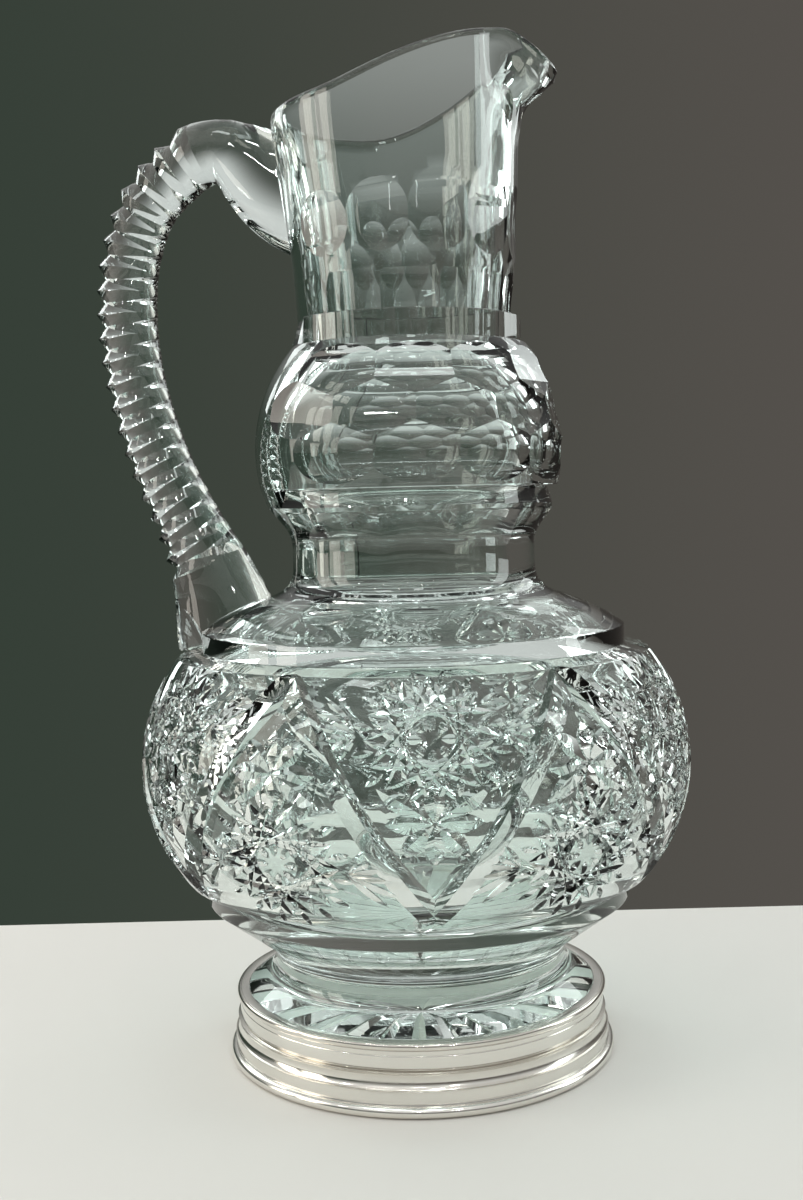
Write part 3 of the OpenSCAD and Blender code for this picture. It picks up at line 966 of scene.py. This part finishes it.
        def make(bm: bmesh.types.BMesh) -> None:
            """Add the wheel to a bmesh.

            Args:
                bm: The bmesh.
            """
            bmesh.ops.create_cone(
                bm,
                cap_ends=True,
                cap_tris=False,
                segments=int(radius * 5),
                radius1=radius,
                radius2=radius,
                depth=wide,
                matrix=Matrix.Rotation(math.pi / 2, 4, "X"),
            )
            bmesh.ops.translate(bm, vec=(radius - depth, 0.0, 0.0), verts=bm.verts[:])
            bmesh.ops.rotate(
                bm,
                cent=(0.0, 0.0, 0.0),
                matrix=Matrix.Rotation(math.radians(-tilt), 3, "Y"),
                verts=bm.verts[:],
            )
            bmesh.ops.translate(bm, vec=(place[0], 0.0, place[1]), verts=bm.verts[:])
            if floor is not None:
                cut = bmesh.ops.bisect_plane(
                    bm,
                    geom=bm.verts[:] + bm.edges[:] + bm.faces[:],
                    dist=0.0001,
                    plane_co=(0.0, 0.0, floor),
                    plane_no=(0.0, 0.0, 1.0),
                    clear_inner=True,
                )
                rim = [e for e in cut["geom_cut"] if isinstance(e, bmesh.types.BMEdge)]
                bmesh.ops.holes_fill(bm, edges=rim, sides=0)

        return make

    def cut_bulb_and_neck(self, body: bpy.types.Object) -> None:
        """Cut the rows of prints on the bulb and the arches and prints on the neck.

        Args:
            body: The glass.
        """
        cutters = []
        for lift, offset in self.print_rows:
            a = math.radians(lift)
            place = (self.bulb_r * math.cos(a), self.bulb_z + self.bulb_r * math.sin(a))
            make = self.wheel(place, lift, 29.0, 2.0, 28.0, None)
            angles = self.steps(offset, 12.5)
            cutters += [turned(make, [angle], "print") for angle in angles]
        place = (self.neck_r, self.neck_z)
        lean, wide = self.neck_lean, self.neck_print
        make = self.wheel(place, lean, 127.0, 1.6, wide, self.neck_z + 0.01)
        cutters += [turned(make, [a], "arch") for a in self.steps(0.0, 12.5)]
        place = (self.neck_at(self.round_z), self.round_z)
        make = self.wheel(place, lean, 32.0, 1.2, wide, None)
        cutters += [turned(make, [a], "round") for a in self.steps(0.5, 12.5)]
        combine(body, cutters, "DIFFERENCE")

    # Mouth and handle

    def pull_mouth(self, mesh: bpy.types.Mesh) -> None:
        """Shift and raise the mouth and pull its lip, on a mesh with a straight neck.

        The lip bulges out steeply below and slopes gently inside, so its tip is thick and blunt.

        Args:
            mesh: The glass, or the core that keeps its hollow open.
        """
        low, high = self.pulled_from
        for v in mesh.vertices:
            radius, angle, z = polar(v)
            if z <= low:
                continue
            depth = (self.neck_at(min(z, self.mouth_z)) - radius) / self.wall_at(z)
            u = self.mouth_r * math.cos(math.radians(angle)) + self.rim_bend[0]
            rise = self.mouth_slope * (u + math.sqrt(u * u + self.rim_bend[1])) / 2.0
            rise -= self.lip_fall * bump(angle, self.dip_half)
            share = min(1.0, (z - low) / (high - low))
            z += rise * share
            outer = 0.12 * ease((z - self.mouth_z + 11.0) / 12.0)
            outer += 0.88 * ease((z - self.mouth_z + 0.9) / 8.5)
            inner = ease((z - self.mouth_z + 5.0) / (rise + 5.0 - self.mouth_wall / 2))
            pull = outer + (inner - outer) * max(0.0, min(1.0, depth))
            out = self.lip_reach * bump(angle, self.lip_half) * pull
            a = math.radians(angle)
            v.co.x = (radius + out) * math.cos(a) - self.mouth_shift * share
            v.co.y = (radius + out) * math.sin(a)
            v.co.z = z

    def build(self, handle: "Handle", material: bpy.types.Material) -> bpy.types.Object:
        """Blow, cut and finish the glass.

        Args:
            handle: The handle that is fused on.
            material: The glass.

        Returns:
            The finished piece.
        """
        body = self.blank()
        self.cut_belt(body)
        self.cut_foot(body)
        self.cut_bulb_and_neck(body)
        self.cut_shoulder(body)
        self.pull_mouth(body.data)
        core = to_mesh(lathe([(0.0, self.mouth_z)] + self.hollow(1.6), 96), "core")
        self.pull_mouth(core)
        grip = to_object(handle.sweep())
        combine(grip, [core], "DIFFERENCE")
        fused = grip.data.copy()
        bpy.data.objects.remove(grip)
        combine(body, [fused], "UNION")
        finish(body, material, ("vessel", "handle"), 14.0)
        return body


@dataclass
class Handle:
    """Pulled glass handle with notches cut across its back.

    A station gives distance from the axis, height, half depth and half width.
    """

    sides: int = 32
    reach: float = 88.2
    top_z: float = 276.9
    shoulder_z: float = 127.3
    deep: float = 9.4
    wide: float = 9.0
    pad_tall: float = 17.0
    notches: int = 20
    notch_depth: float = 2.7
    notched: Point = (0.2, 0.875)
    stations: list[tuple[float, float, float, float]] = field(default_factory=list)

    def __post_init__(self) -> None:
        """Lay the stations, from shares of the reach and of the height."""
        d, w, high = self.deep, self.wide, self.top_z - self.shoulder_z
        shares = [
            (0.340, 0.153, self.pad_tall, w + 0.5),
            (0.408, 0.136, self.pad_tall - 0.2, w + 0.5),
            (0.465, 0.113, self.pad_tall - 1.5, w + 0.3),
            (0.522, 0.080, self.pad_tall - 4.0, w),
            (0.573, 0.053, d + 1.2, w),
            (0.629, 0.036, d - 0.5, w),
            (0.720, 0.045, d + 0.3, w),
            (0.799, 0.074, d + 0.3, w),
            (0.909, 0.137, d, w),
            (0.982, 0.244, d, w),
            (1.000, 0.374, d, w),
            (0.973, 0.508, d, w),
            (0.900, 0.655, d + 0.4, w + 0.4),
            (0.803, 0.782, d + 1.0, w + 1.2),
            (0.716, 0.893, d + 3.6, w + 2.4),
            (0.673, 0.980, d + 6.6, w + 3.4),
            (0.660, 1.044, d + 6.6, w + 3.8),
        ]
        self.stations = [
            (reach * self.reach, self.top_z - drop * high, half_deep, half_wide)
            for reach, drop, half_deep, half_wide in shares
        ]

    def line(self) -> list[tuple[float, ...]]:
        """Smooth line through the stations, with its length at each point as a last value.

        Returns:
            The line's points.
        """
        last = len(self.stations) - 1
        points: list[tuple[float, ...]] = []
        length = 0.0
        for i in range(last):
            four = [self.stations[max(0, min(last, i + k))] for k in (-1, 0, 1, 2)]
            for step in range(8):
                t = step / 8.0
                here = tuple(
                    0.5
                    * (
                        2 * q
                        + (r - p) * t
                        + (2 * p - 5 * q + 4 * r - s) * t * t
                        + (3 * q - p - 3 * r + s) * t**3
                    )
                    for p, q, r, s in zip(*four)
                )
                if points:
                    length += math.dist(points[-1][:2], here[:2])
                points.append(here + (length,))
        return points

    def at(self, line: list[tuple[float, ...]], s: float) -> tuple[float, ...]:
        """Values of the line at length s.

        Args:
            line: The smooth line.
            s: Length along it in millimetres.

        Returns:
            Distance from the axis, height, half depth, half width and length there.
        """
        for p, q in zip(line, line[1:]):
            if q[4] >= s or q is line[-1]:
                t = (s - p[4]) / (q[4] - p[4])
                return tuple(a + (b - a) * t for a, b in zip(p, q))
        return line[-1]

    def notch(self, s: float, start: float, pitch: float) -> float:
        """Depth of the notches at length s: V shaped, with a sharp crest between two.

        Args:
            s: Length along the handle.
            start: Length at which the notches start.
            pitch: Length of one notch.

        Returns:
            The depth in millimetres.
        """
        f = (s - start) / pitch
        if f <= 0.0 or f >= self.notches:
            return 0.0
        return self.notch_depth * (1.0 - abs(2.0 * (f % 1.0) - 1.0))

    def sweep(self) -> bpy.types.Mesh:
        """The handle's closed mesh.

        Returns:
            The mesh.
        """
        line = self.line()
        length = line[-1][4]
        start, end = self.notched[0] * length, self.notched[1] * length
        pitch = (end - start) / self.notches
        runs = [2.5 * i for i in range(int((start - 1) / 2.5) + 1)]
        runs += [start + pitch * i / 6 for i in range(6 * self.notches + 1)]
        runs += [end + 2.5 * i for i in range(1, int((length - end) / 2.5))] + [length]
        bm = bmesh.new()
        ring = bmesh.ops.create_circle(bm, segments=self.sides, radius=1.0, cap_ends=True)["verts"]
        face = bm.faces[:][0]
        turns = [math.atan2(v.co.y, v.co.x) for v in ring]
        for number, s in enumerate(runs):
            if number:
                made = bmesh.ops.extrude_face_region(bm, geom=[face])["geom"]
                old = face
                face = next(g for g in made if isinstance(g, bmesh.types.BMFace))
                ring = self.matched(ring, made)
                if old.is_valid and number > 1:
                    bmesh.ops.delete(bm, geom=[old], context="FACES_ONLY")
            x, z, half_deep, half_wide, _ = self.at(line, s)
            x1, z1 = self.at(line, s - 0.5)[:2]
            x2, z2 = self.at(line, s + 0.5)[:2]
            square = Vector((z1 - z2, x2 - x1)).normalized()
            upright = 1.0 - ease(s / (2.0 * self.pad_tall))
            nx, nz = square.lerp(Vector((0.0, 1.0)), upright).normalized()
            cut = self.notch(s, start, pitch)
            for v, t in zip(ring, turns):
                deep = cut * ((1.0 + math.cos(t)) / 2.0) ** 0.7
                u = (half_deep - deep) * math.cos(t)
                side = (half_wide - deep) * math.sin(t)
                v.co = (-(x + nx * u), side, z + nz * u)
        bmesh.ops.recalc_face_normals(bm, faces=bm.faces[:])
        return to_mesh(bm, "handle_sweep")

    def matched(self, ring: list[bmesh.types.BMVert], made: list) -> list[bmesh.types.BMVert]:
        """The extruded vertices in the order of the ring that they came from.

        Args:
            ring: The ring's vertices.
            made: What the extrusion made.

        Returns:
            The new vertices.
        """
        fresh = [g for g in made if isinstance(g, bmesh.types.BMVert)]
        lookup = {}
        for v in fresh:
            for e in v.link_edges:
                lookup[e.other_vert(v)] = v
        return [lookup[v] for v in ring]


# Silver and plaster


@dataclass
class SilverFoot:
    """Spun silver foot with its two soldered wires and the plaster under the glass."""

    columns: int = 192
    mount_r: float = 55.0
    mount_h: float = 20.0
    wall: float = 1.0
    wire_low: float = 1.65
    wire_high: float = 1.1
    plinth_r: float = 56.5
    plinth_h: float = 7.3
    tier_z: float = 12.3
    flange_r: float = 50.5
    lip_r: float = 52.2

    def shell(self) -> list[Point]:
        """Outline of the spun foot.

        Returns:
            The outline's points.
        """
        scotia = (self.plinth_r + 1.9, (self.plinth_h + self.tier_z) / 2)
        half = (self.tier_z - self.plinth_h) / 2 - 0.35
        depth = math.sqrt(3.4**2 - half**2)
        low = (scotia[0] - depth, scotia[1] - half)
        high = (scotia[0] - depth, scotia[1] + half)
        inner, seat = self.mount_r - self.wall, self.mount_r - 0.3
        top = self.mount_h - 2 * self.wire_high
        points = [(self.flange_r, 0.0), (self.plinth_r, 0.0)]
        points += [(self.plinth_r, 3.4), (self.plinth_r - 0.15, 3.7), (self.plinth_r, 4.0)]
        points += [(self.plinth_r, self.plinth_h), (low[0] + 0.3, self.plinth_h)]
        points += arc(scotia, low, high, 0.4)
        points += [(self.mount_r - 0.5, self.tier_z), (self.mount_r - 0.5, self.tier_z + 0.4)]
        points += [(self.mount_r, self.tier_z + 0.6), (self.mount_r, 16.2)]
        points += [(self.mount_r - 0.15, 16.4), (self.mount_r, 16.6), (self.mount_r, top)]
        points += [(seat, top), (seat, self.mount_h), (self.lip_r, self.mount_h)]
        points += [(self.lip_r, self.mount_h - self.wall), (inner, self.mount_h - self.wall)]
        points += [(inner, self.plinth_h), (self.plinth_r - self.wall, self.plinth_h - 1.5)]
        points += [(self.plinth_r - self.wall, self.wall), (self.flange_r, self.wall)]
        return soften(points, 0.16)

    def wire(self, seat: float, height: float, radius: float) -> list[Point]:
        """Outline of a half-round wire soldered on at radius seat.

        Args:
            seat: Radius of the wire's flat side.
            height: Height of its middle.
            radius: Radius of its section.

        Returns:
            The outline.
        """
        centre = (seat, height)
        points = arc(centre, (seat + 0.02, height - radius), (seat + radius, height), 0.22)
        points += arc(centre, (seat + radius, height), (seat + 0.02, height + radius), 0.22)[1:]
        return points

    def build(self, silver: bpy.types.Material, plaster: bpy.types.Material) -> None:
        """Spin the silver and dress the plaster.

        Args:
            silver: Material of the foot and its wires.
            plaster: Material of the bed under the glass.
        """
        seat = self.mount_r - 0.3
        rim_z = self.mount_h - self.wire_high
        low = self.wire_low
        outlines = {
            "silver_foot": (self.shell(), "foot_mount"),
            "silver_rim_wire": (self.wire(seat, rim_z, self.wire_high), "rim_wire"),
            "silver_base_wire": (self.wire(self.plinth_r, low, low), "base_wire"),
        }
        for name, (outline, node) in outlines.items():
            piece = to_object(to_mesh(lathe(outline, self.columns, ring=True), name))
            finish(piece, silver, (node,), 40.0)
        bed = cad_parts["setting_bed"]
        bed.data.materials.clear()
        bed.data.materials.append(plaster)
        LOG.info("setting_bed: plaster on the solid itself")


# Finishes


class NodeTree:
    """A material's or a group's node tree, with short calls to add and join nodes."""

    def __init__(self, tree: bpy.types.NodeTree) -> None:
        """Take a node tree."""
        self.tree = tree

    def add(self, kind: str, sockets: dict | None = None, **values: object) -> bpy.types.Node:
        """Add a node, with its properties and the values of its inputs.

        Args:
            kind: The node's type, without the word ShaderNode.
            sockets: Values of inputs by their names.
            values: The node's properties.

        Returns:
            The node.
        """
        node = self.tree.nodes.new(f"ShaderNode{kind}")
        for key, value in values.items():
            setattr(node, key, value)
        for key, value in (sockets or {}).items():
            node.inputs[key].default_value = value
        return node

    def join(
        self, source: bpy.types.Node, output: str, target: bpy.types.Node, entry: str | int
    ) -> None:
        """Join an output of a node to an input of another.

        Args:
            source: The node that gives.
            output: Name of its output.
            target: The node that takes.
            entry: Name or number of its input.
        """
        self.tree.links.new(source.outputs[output], target.inputs[entry])


@dataclass
class Surface:
    """A new material with its shader and with the marks that give its roughness and relief."""

    material: bpy.types.Material
    nt: NodeTree
    shader: bpy.types.Node
    marks: bpy.types.Node
    out: bpy.types.Node

    @classmethod
    def start(cls, name: str, marks: bpy.types.NodeTree) -> "Surface":
        """Make a material of a name round a group of marks.

        Args:
            name: Name of the material.
            marks: The node group that gives Mask, Roughness and Normal.

        Returns:
            The surface, whose shader isn't joined to its output yet.
        """
        material = bpy.data.materials.new(name)
        material.use_nodes = True
        nt = NodeTree(material.node_tree)
        nt.tree.nodes.clear()
        out = nt.add("OutputMaterial")
        shader = nt.add("BsdfPrincipled")
        group = nt.add("Group", node_tree=marks)
        nt.join(group, "Roughness", shader, "Roughness")
        return cls(material, nt, shader, group, out)


def surface_group(
    name: str, scale: float, spread: float, floor: float, height: float
) -> bpy.types.NodeTree:
    """Node group for faint handling marks and unevenness.

    Args:
        name: Name of the group.
        scale: Size of the pattern, as noise scale in one over metres.
        spread: Range that the roughness varies over.
        floor: Lowest roughness.
        height: Height of the unevenness in metres.

    Returns:
        The group, with the outputs Mask, Roughness and Normal.
    """
    tree = bpy.data.node_groups.new(name, "ShaderNodeTree")
    for kind, label in (("Float", "Mask"), ("Float", "Roughness"), ("Vector", "Normal")):
        tree.interface.new_socket(name=label, in_out="OUTPUT", socket_type=f"NodeSocket{kind}")
    nt = NodeTree(tree)
    out = tree.nodes.new("NodeGroupOutput")
    coords = nt.add("TexCoord")
    smears = nt.add("TexNoise", {"Scale": scale, "Detail": 4.0, "Roughness": 0.62})
    span = {"From Min": 0.42, "From Max": 0.72, "To Min": floor, "To Max": floor + spread}
    ramp = nt.add("MapRange", span)
    waves = nt.add("TexNoise", {"Scale": scale * 0.45, "Detail": 1.0})
    relief = nt.add("Bump", {"Strength": 1.0, "Distance": height})
    nt.join(coords, "Object", smears, "Vector")
    nt.join(coords, "Object", waves, "Vector")
    nt.join(smears, "Fac", ramp, "Value")
    nt.join(waves, "Fac", relief, "Height")
    nt.join(smears, "Fac", out, "Mask")
    nt.join(ramp, "Result", out, "Roughness")
    nt.join(relief, "Normal", out, "Normal")
    return tree


@dataclass(frozen=True)
class CrystalFinish:
    """Polished lead crystal, clear with a breath of sea green where it is thick."""

    tint: Colour = (0.91, 0.978, 0.958, 1.0)
    shade: Colour = (0.80, 0.84, 0.84, 1.0)
    ior: float = 1.545

    def make(self) -> bpy.types.Material:
        """The glass material, which lets part of the lamps' light through to the table.

        Returns:
            The material.
        """
        marks = surface_group("crystal_surface", 95.0, 0.03, 0.0, 0.00002)
        base = Surface.start("crystal", marks)
        nt, shader = base.nt, base.shader
        shader.inputs["Base Color"].default_value = self.tint
        shader.inputs["IOR"].default_value = self.ior
        shader.inputs["Transmission Weight"].default_value = 1.0
        clear = nt.add("BsdfTransparent", {"Color": self.shade})
        path = nt.add("LightPath")
        mix = nt.add("MixShader")
        nt.join(base.marks, "Normal", shader, "Normal")
        nt.join(path, "Is Shadow Ray", mix, "Fac")
        nt.join(shader, "BSDF", mix, 1)
        nt.join(clear, "BSDF", mix, 2)
        nt.join(mix, "Shader", base.out, "Surface")
        return base.material


@dataclass(frozen=True)
class SilverFinish:
    """Polished silver, warm and slightly dull in its hollows, with fine spinning lines.

    Attributes:
        bright: Colour where it is rubbed clean.
        dull: Colour of the tarnish.
        height: Height of the foot in metres.
        hollows: Share of tarnish by share of that height.
    """

    bright: Colour = (0.84, 0.82, 0.775, 1.0)
    dull: Colour = (0.52, 0.47, 0.40, 1.0)
    height: float = 0.02
    hollows: dict[float, float] = field(
        default_factory=lambda: {
            **{0.0: 0.35, 0.1: 0.0, 0.33: 0.1, 0.37: 0.9, 0.41: 0.25, 0.58: 0.3, 0.63: 0.9},
            **{0.66: 0.05, 0.88: 0.05, 0.895: 0.8, 0.91: 0.05, 1.0: 0.0},
        }
    )

    def make(self) -> bpy.types.Material:
        """The silver material.

        Returns:
            The material.
        """
        marks = surface_group("silver_surface", 60.0, 0.14, 0.12, 0.00001)
        base = Surface.start("silver", marks)
        nt, shader = base.nt, base.shader
        shader.inputs["Metallic"].default_value = 1.0
        coords = nt.add("TexCoord")
        split = nt.add("SeparateXYZ")
        lines = nt.add("TexNoise", {"Scale": 5200.0, "Detail": 2.0}, noise_dimensions="1D")
        spun = nt.add("Bump", {"Strength": 0.35, "Distance": 0.00001})
        hollows = nt.add("ValToRGB")
        for place, value in self.hollows.items():
            hollows.color_ramp.elements.new(place).color = (value, value, value, 1.0)
        scale = nt.add("Math", {1: 1.0 / self.height}, operation="MULTIPLY")
        patch = nt.add("Math", operation="MULTIPLY")
        tone = nt.add("Mix", data_type="RGBA")
        tone.inputs["A"].default_value = self.bright
        tone.inputs["B"].default_value = self.dull
        nt.join(coords, "Object", split, "Vector")
        nt.join(split, "Z", lines, "W")
        nt.join(split, "Z", scale, 0)
        nt.join(scale, "Value", hollows, "Fac")
        nt.join(hollows, "Color", patch, 0)
        nt.join(base.marks, "Mask", patch, 1)
        nt.join(patch, "Value", tone, "Factor")
        nt.join(tone, "Result", shader, "Base Color")
        nt.join(lines, "Fac", spun, "Height")
        nt.join(base.marks, "Normal", spun, "Normal")
        nt.join(spun, "Normal", shader, "Normal")
        nt.join(shader, "BSDF", base.out, "Surface")
        return base.material


@dataclass(frozen=True)
class PlasterFinish:
    """Set plaster of Paris, chalky and a little uneven."""

    pale: Colour = (0.80, 0.78, 0.73, 1.0)
    grey: Colour = (0.58, 0.56, 0.52, 1.0)

    def make(self) -> bpy.types.Material:
        """The plaster material.

        Returns:
            The material.
        """
        marks = surface_group("plaster_surface", 700.0, 0.25, 0.7, 0.0002)
        base = Surface.start("plaster", marks)
        nt, shader = base.nt, base.shader
        tone = nt.add("Mix", data_type="RGBA")
        tone.inputs["A"].default_value = self.pale
        tone.inputs["B"].default_value = self.grey
        nt.join(base.marks, "Mask", tone, "Factor")
        nt.join(tone, "Result", shader, "Base Color")
        nt.join(base.marks, "Normal", shader, "Normal")
        nt.join(shader, "BSDF", base.out, "Surface")
        return base.material


# Studio


@dataclass
class Studio:
    """Pale floor, soft light and the camera at the photograph's viewing angle."""

    eye: tuple[float, float, float] = (0.0949, -0.4112, 0.1651)
    yaw: float = 103.42
    pitch: float = 4.1
    roll: float = -1.43
    lens: float = 42.3
    table: Point = (2.6, 1.7)
    table_behind: float = 0.128
    floor_tone: Colour = (0.72, 0.70, 0.67, 1.0)
    dark: Colour = (0.092, 0.083, 0.074, 1.0)
    dark_left: Colour = (0.036, 0.050, 0.038, 1.0)
    dark_from: Point = (-0.55, 0.15)
    sky: Colour = (0.655, 0.66, 0.645, 1.0)
    sky_from: Point = (0.10, 0.55)
    warm: tuple[float, float, float] = (1.0, 0.94, 0.84)
    cool: tuple[float, float, float] = (0.93, 1.0, 0.98)
    white: tuple[float, float, float] = (1.0, 1.0, 1.0)
    aim: tuple[float, float, float] = (0.0, 0.0, 0.16)

    def camera(self) -> None:
        """Set up the camera."""
        data = bpy.data.cameras.new("camera")
        data.sensor_width = 36.0
        data.lens = self.lens
        data.clip_start = 0.01
        cam = bpy.data.objects.new("camera", data)
        bpy.context.scene.collection.objects.link(cam)
        a, b = math.radians(self.yaw), math.radians(self.pitch)
        ahead = Vector((math.cos(a) * math.cos(b), math.sin(a) * math.cos(b), -math.sin(b)))
        turn = ahead.to_track_quat("-Z", "Y").to_matrix().to_4x4()
        roll = Matrix.Rotation(math.radians(self.roll), 4, "Z")
        cam.matrix_world = Matrix.Translation(self.eye) @ turn @ roll
        bpy.context.scene.camera = cam

    def floor(self) -> None:
        """Lay the pale table top, whose far edge lies a little behind the jug."""
        bm = bmesh.new()
        bmesh.ops.create_grid(bm, x_segments=1, y_segments=1, size=0.5)
        bmesh.ops.scale(bm, vec=(*self.table, 1.0), verts=bm.verts[:])
        shift = (0.0, self.table_behind - self.table[1] / 2, 0.0)
        bmesh.ops.translate(bm, vec=shift, verts=bm.verts[:])
        turn = Matrix.Rotation(math.radians(self.yaw - 90.0), 3, "Z")
        bmesh.ops.rotate(bm, verts=bm.verts[:], cent=(0.0, 0.0, 0.0), matrix=turn)
        mesh = to_mesh(bm, "floor")
        material = bpy.data.materials.new("floor")
        material.use_nodes = True
        shader = material.node_tree.nodes["Principled BSDF"]
        shader.inputs["Base Color"].default_value = self.floor_tone
        shader.inputs["Roughness"].default_value = 0.6
        mesh.materials.append(material)
        to_object(mesh)

    def lamp(
        self,
        name: str,
        turn: float,
        lift: float,
        size: Point,
        glow: float,
        colour: tuple[float, float, float],
        distance: float = 0.9,
    ) -> None:
        """Hang a soft lamp that points at the jug's middle.

        Args:
            name: Name of the lamp.
            turn: Its angle about the jug, from +X, in degrees.
            lift: Its angle above the jug's middle, in degrees.
            size: Its width and height in metres.
            glow: Its brightness, where 1 is white.
            colour: Its colour.
            distance: Its distance from the jug's middle in metres.
        """
        data = bpy.data.lights.new(name, "AREA")
        data.shape = "RECTANGLE"
        data.size, data.size_y = size
        data.color = colour
        data.energy = glow * math.pi * size[0] * size[1]
        lamp = bpy.data.objects.new(name, data)
        bpy.context.scene.collection.objects.link(lamp)
        lamp.visible_camera = False
        a, b = math.radians(turn), math.radians(lift)
        away = Vector((math.cos(a) * math.cos(b), math.sin(a) * math.cos(b), math.sin(b)))
        place = Matrix.Translation(Vector(self.aim) + away * distance)
        lamp.matrix_world = place @ away.to_track_quat("Z", "Y").to_matrix().to_4x4()

    def world(self) -> None:
        """Dark surround near the horizon and a soft bright ceiling above.

        The camera sees the dark surround alone, as a plain backdrop, greener on the left.
        """
        world = bpy.data.worlds.new("surround")
        bpy.context.scene.world = world
        world.use_nodes = True
        nt = NodeTree(world.node_tree)
        nt.tree.nodes.clear()
        out = nt.add("OutputWorld")
        back = nt.add("Background")
        coords = nt.add("TexCoord")
        split = nt.add("SeparateXYZ")
        high = {"From Min": self.sky_from[0], "From Max": self.sky_from[1]}
        wide = {"From Min": self.dark_from[0], "From Max": self.dark_from[1]}
        ramp = nt.add("MapRange", high, interpolation_type="SMOOTHSTEP")
        side = nt.add("MapRange", wide, interpolation_type="SMOOTHSTEP")
        path = nt.add("LightPath")
        unseen = nt.add("Math", {0: 1.0}, operation="SUBTRACT")
        share = nt.add("Math", operation="MULTIPLY")
        tone = nt.add("Mix", data_type="RGBA")
        tone.inputs["B"].default_value = self.sky
        dark = nt.add("Mix", data_type="RGBA")
        dark.inputs["A"].default_value = self.dark_left
        dark.inputs["B"].default_value = self.dark
        nt.join(coords, "Generated", split, "Vector")
        nt.join(split, "X", side, "Value")
        nt.join(side, "Result", dark, "Factor")
        nt.join(dark, "Result", tone, "A")
        nt.join(split, "Z", ramp, "Value")
        nt.join(path, "Is Camera Ray", unseen, 1)
        nt.join(ramp, "Result", share, 0)
        nt.join(unseen, "Value", share, 1)
        nt.join(share, "Value", tone, "Factor")
        nt.join(tone, "Result", back, "Color")
        nt.join(back, "Background", out, "Surface")

    def build(self) -> None:
        """Set up the whole studio."""
        self.camera()
        self.floor()
        self.world()
        self.lamp("window_near", -144.0, 14.0, (0.20, 0.62), 3.3, self.warm)
        self.lamp("window_far", -163.0, 14.0, (0.24, 0.62), 3.4, self.warm)
        self.lamp("window_right", 14.0, 16.0, (0.22, 0.60), 3.9, self.cool)
        self.lamp("rim_left", 150.0, 26.0, (0.30, 0.40), 3.7, self.cool)
        self.lamp("rim_right", 56.0, 26.0, (0.30, 0.40), 2.8, self.cool)
        self.lamp("soft_left", -116.0, 62.0, (0.16, 0.12), 7.0, self.cool)
        self.lamp("soft_right", -68.0, 58.0, (0.10, 0.14), 7.0, self.cool)
        spots = [(-118, 50), (-104, 34), (-92, 56), (-80, 30), (-66, 42), (-50, 56)]
        spots += [(-128, 30), (-58, 24)]
        for i, (turn, lift) in enumerate(spots):
            self.lamp(f"spot_{i}", turn, lift, (0.03, 0.03), 80.0, self.white, 1.1)
        bpy.context.scene.view_settings.view_transform = "Standard"
        LOG.info("studio: camera, floor, surround and lamps")


def main() -> None:
    """Build the jug and its studio."""
    logging.basicConfig(level=logging.INFO, format="%(message)s")
    Studio().build()
    CrystalJug().build(Handle(), CrystalFinish().make())
    SilverFoot().build(SilverFinish().make(), PlasterFinish().make())


if __name__ == "__main__":
    main()
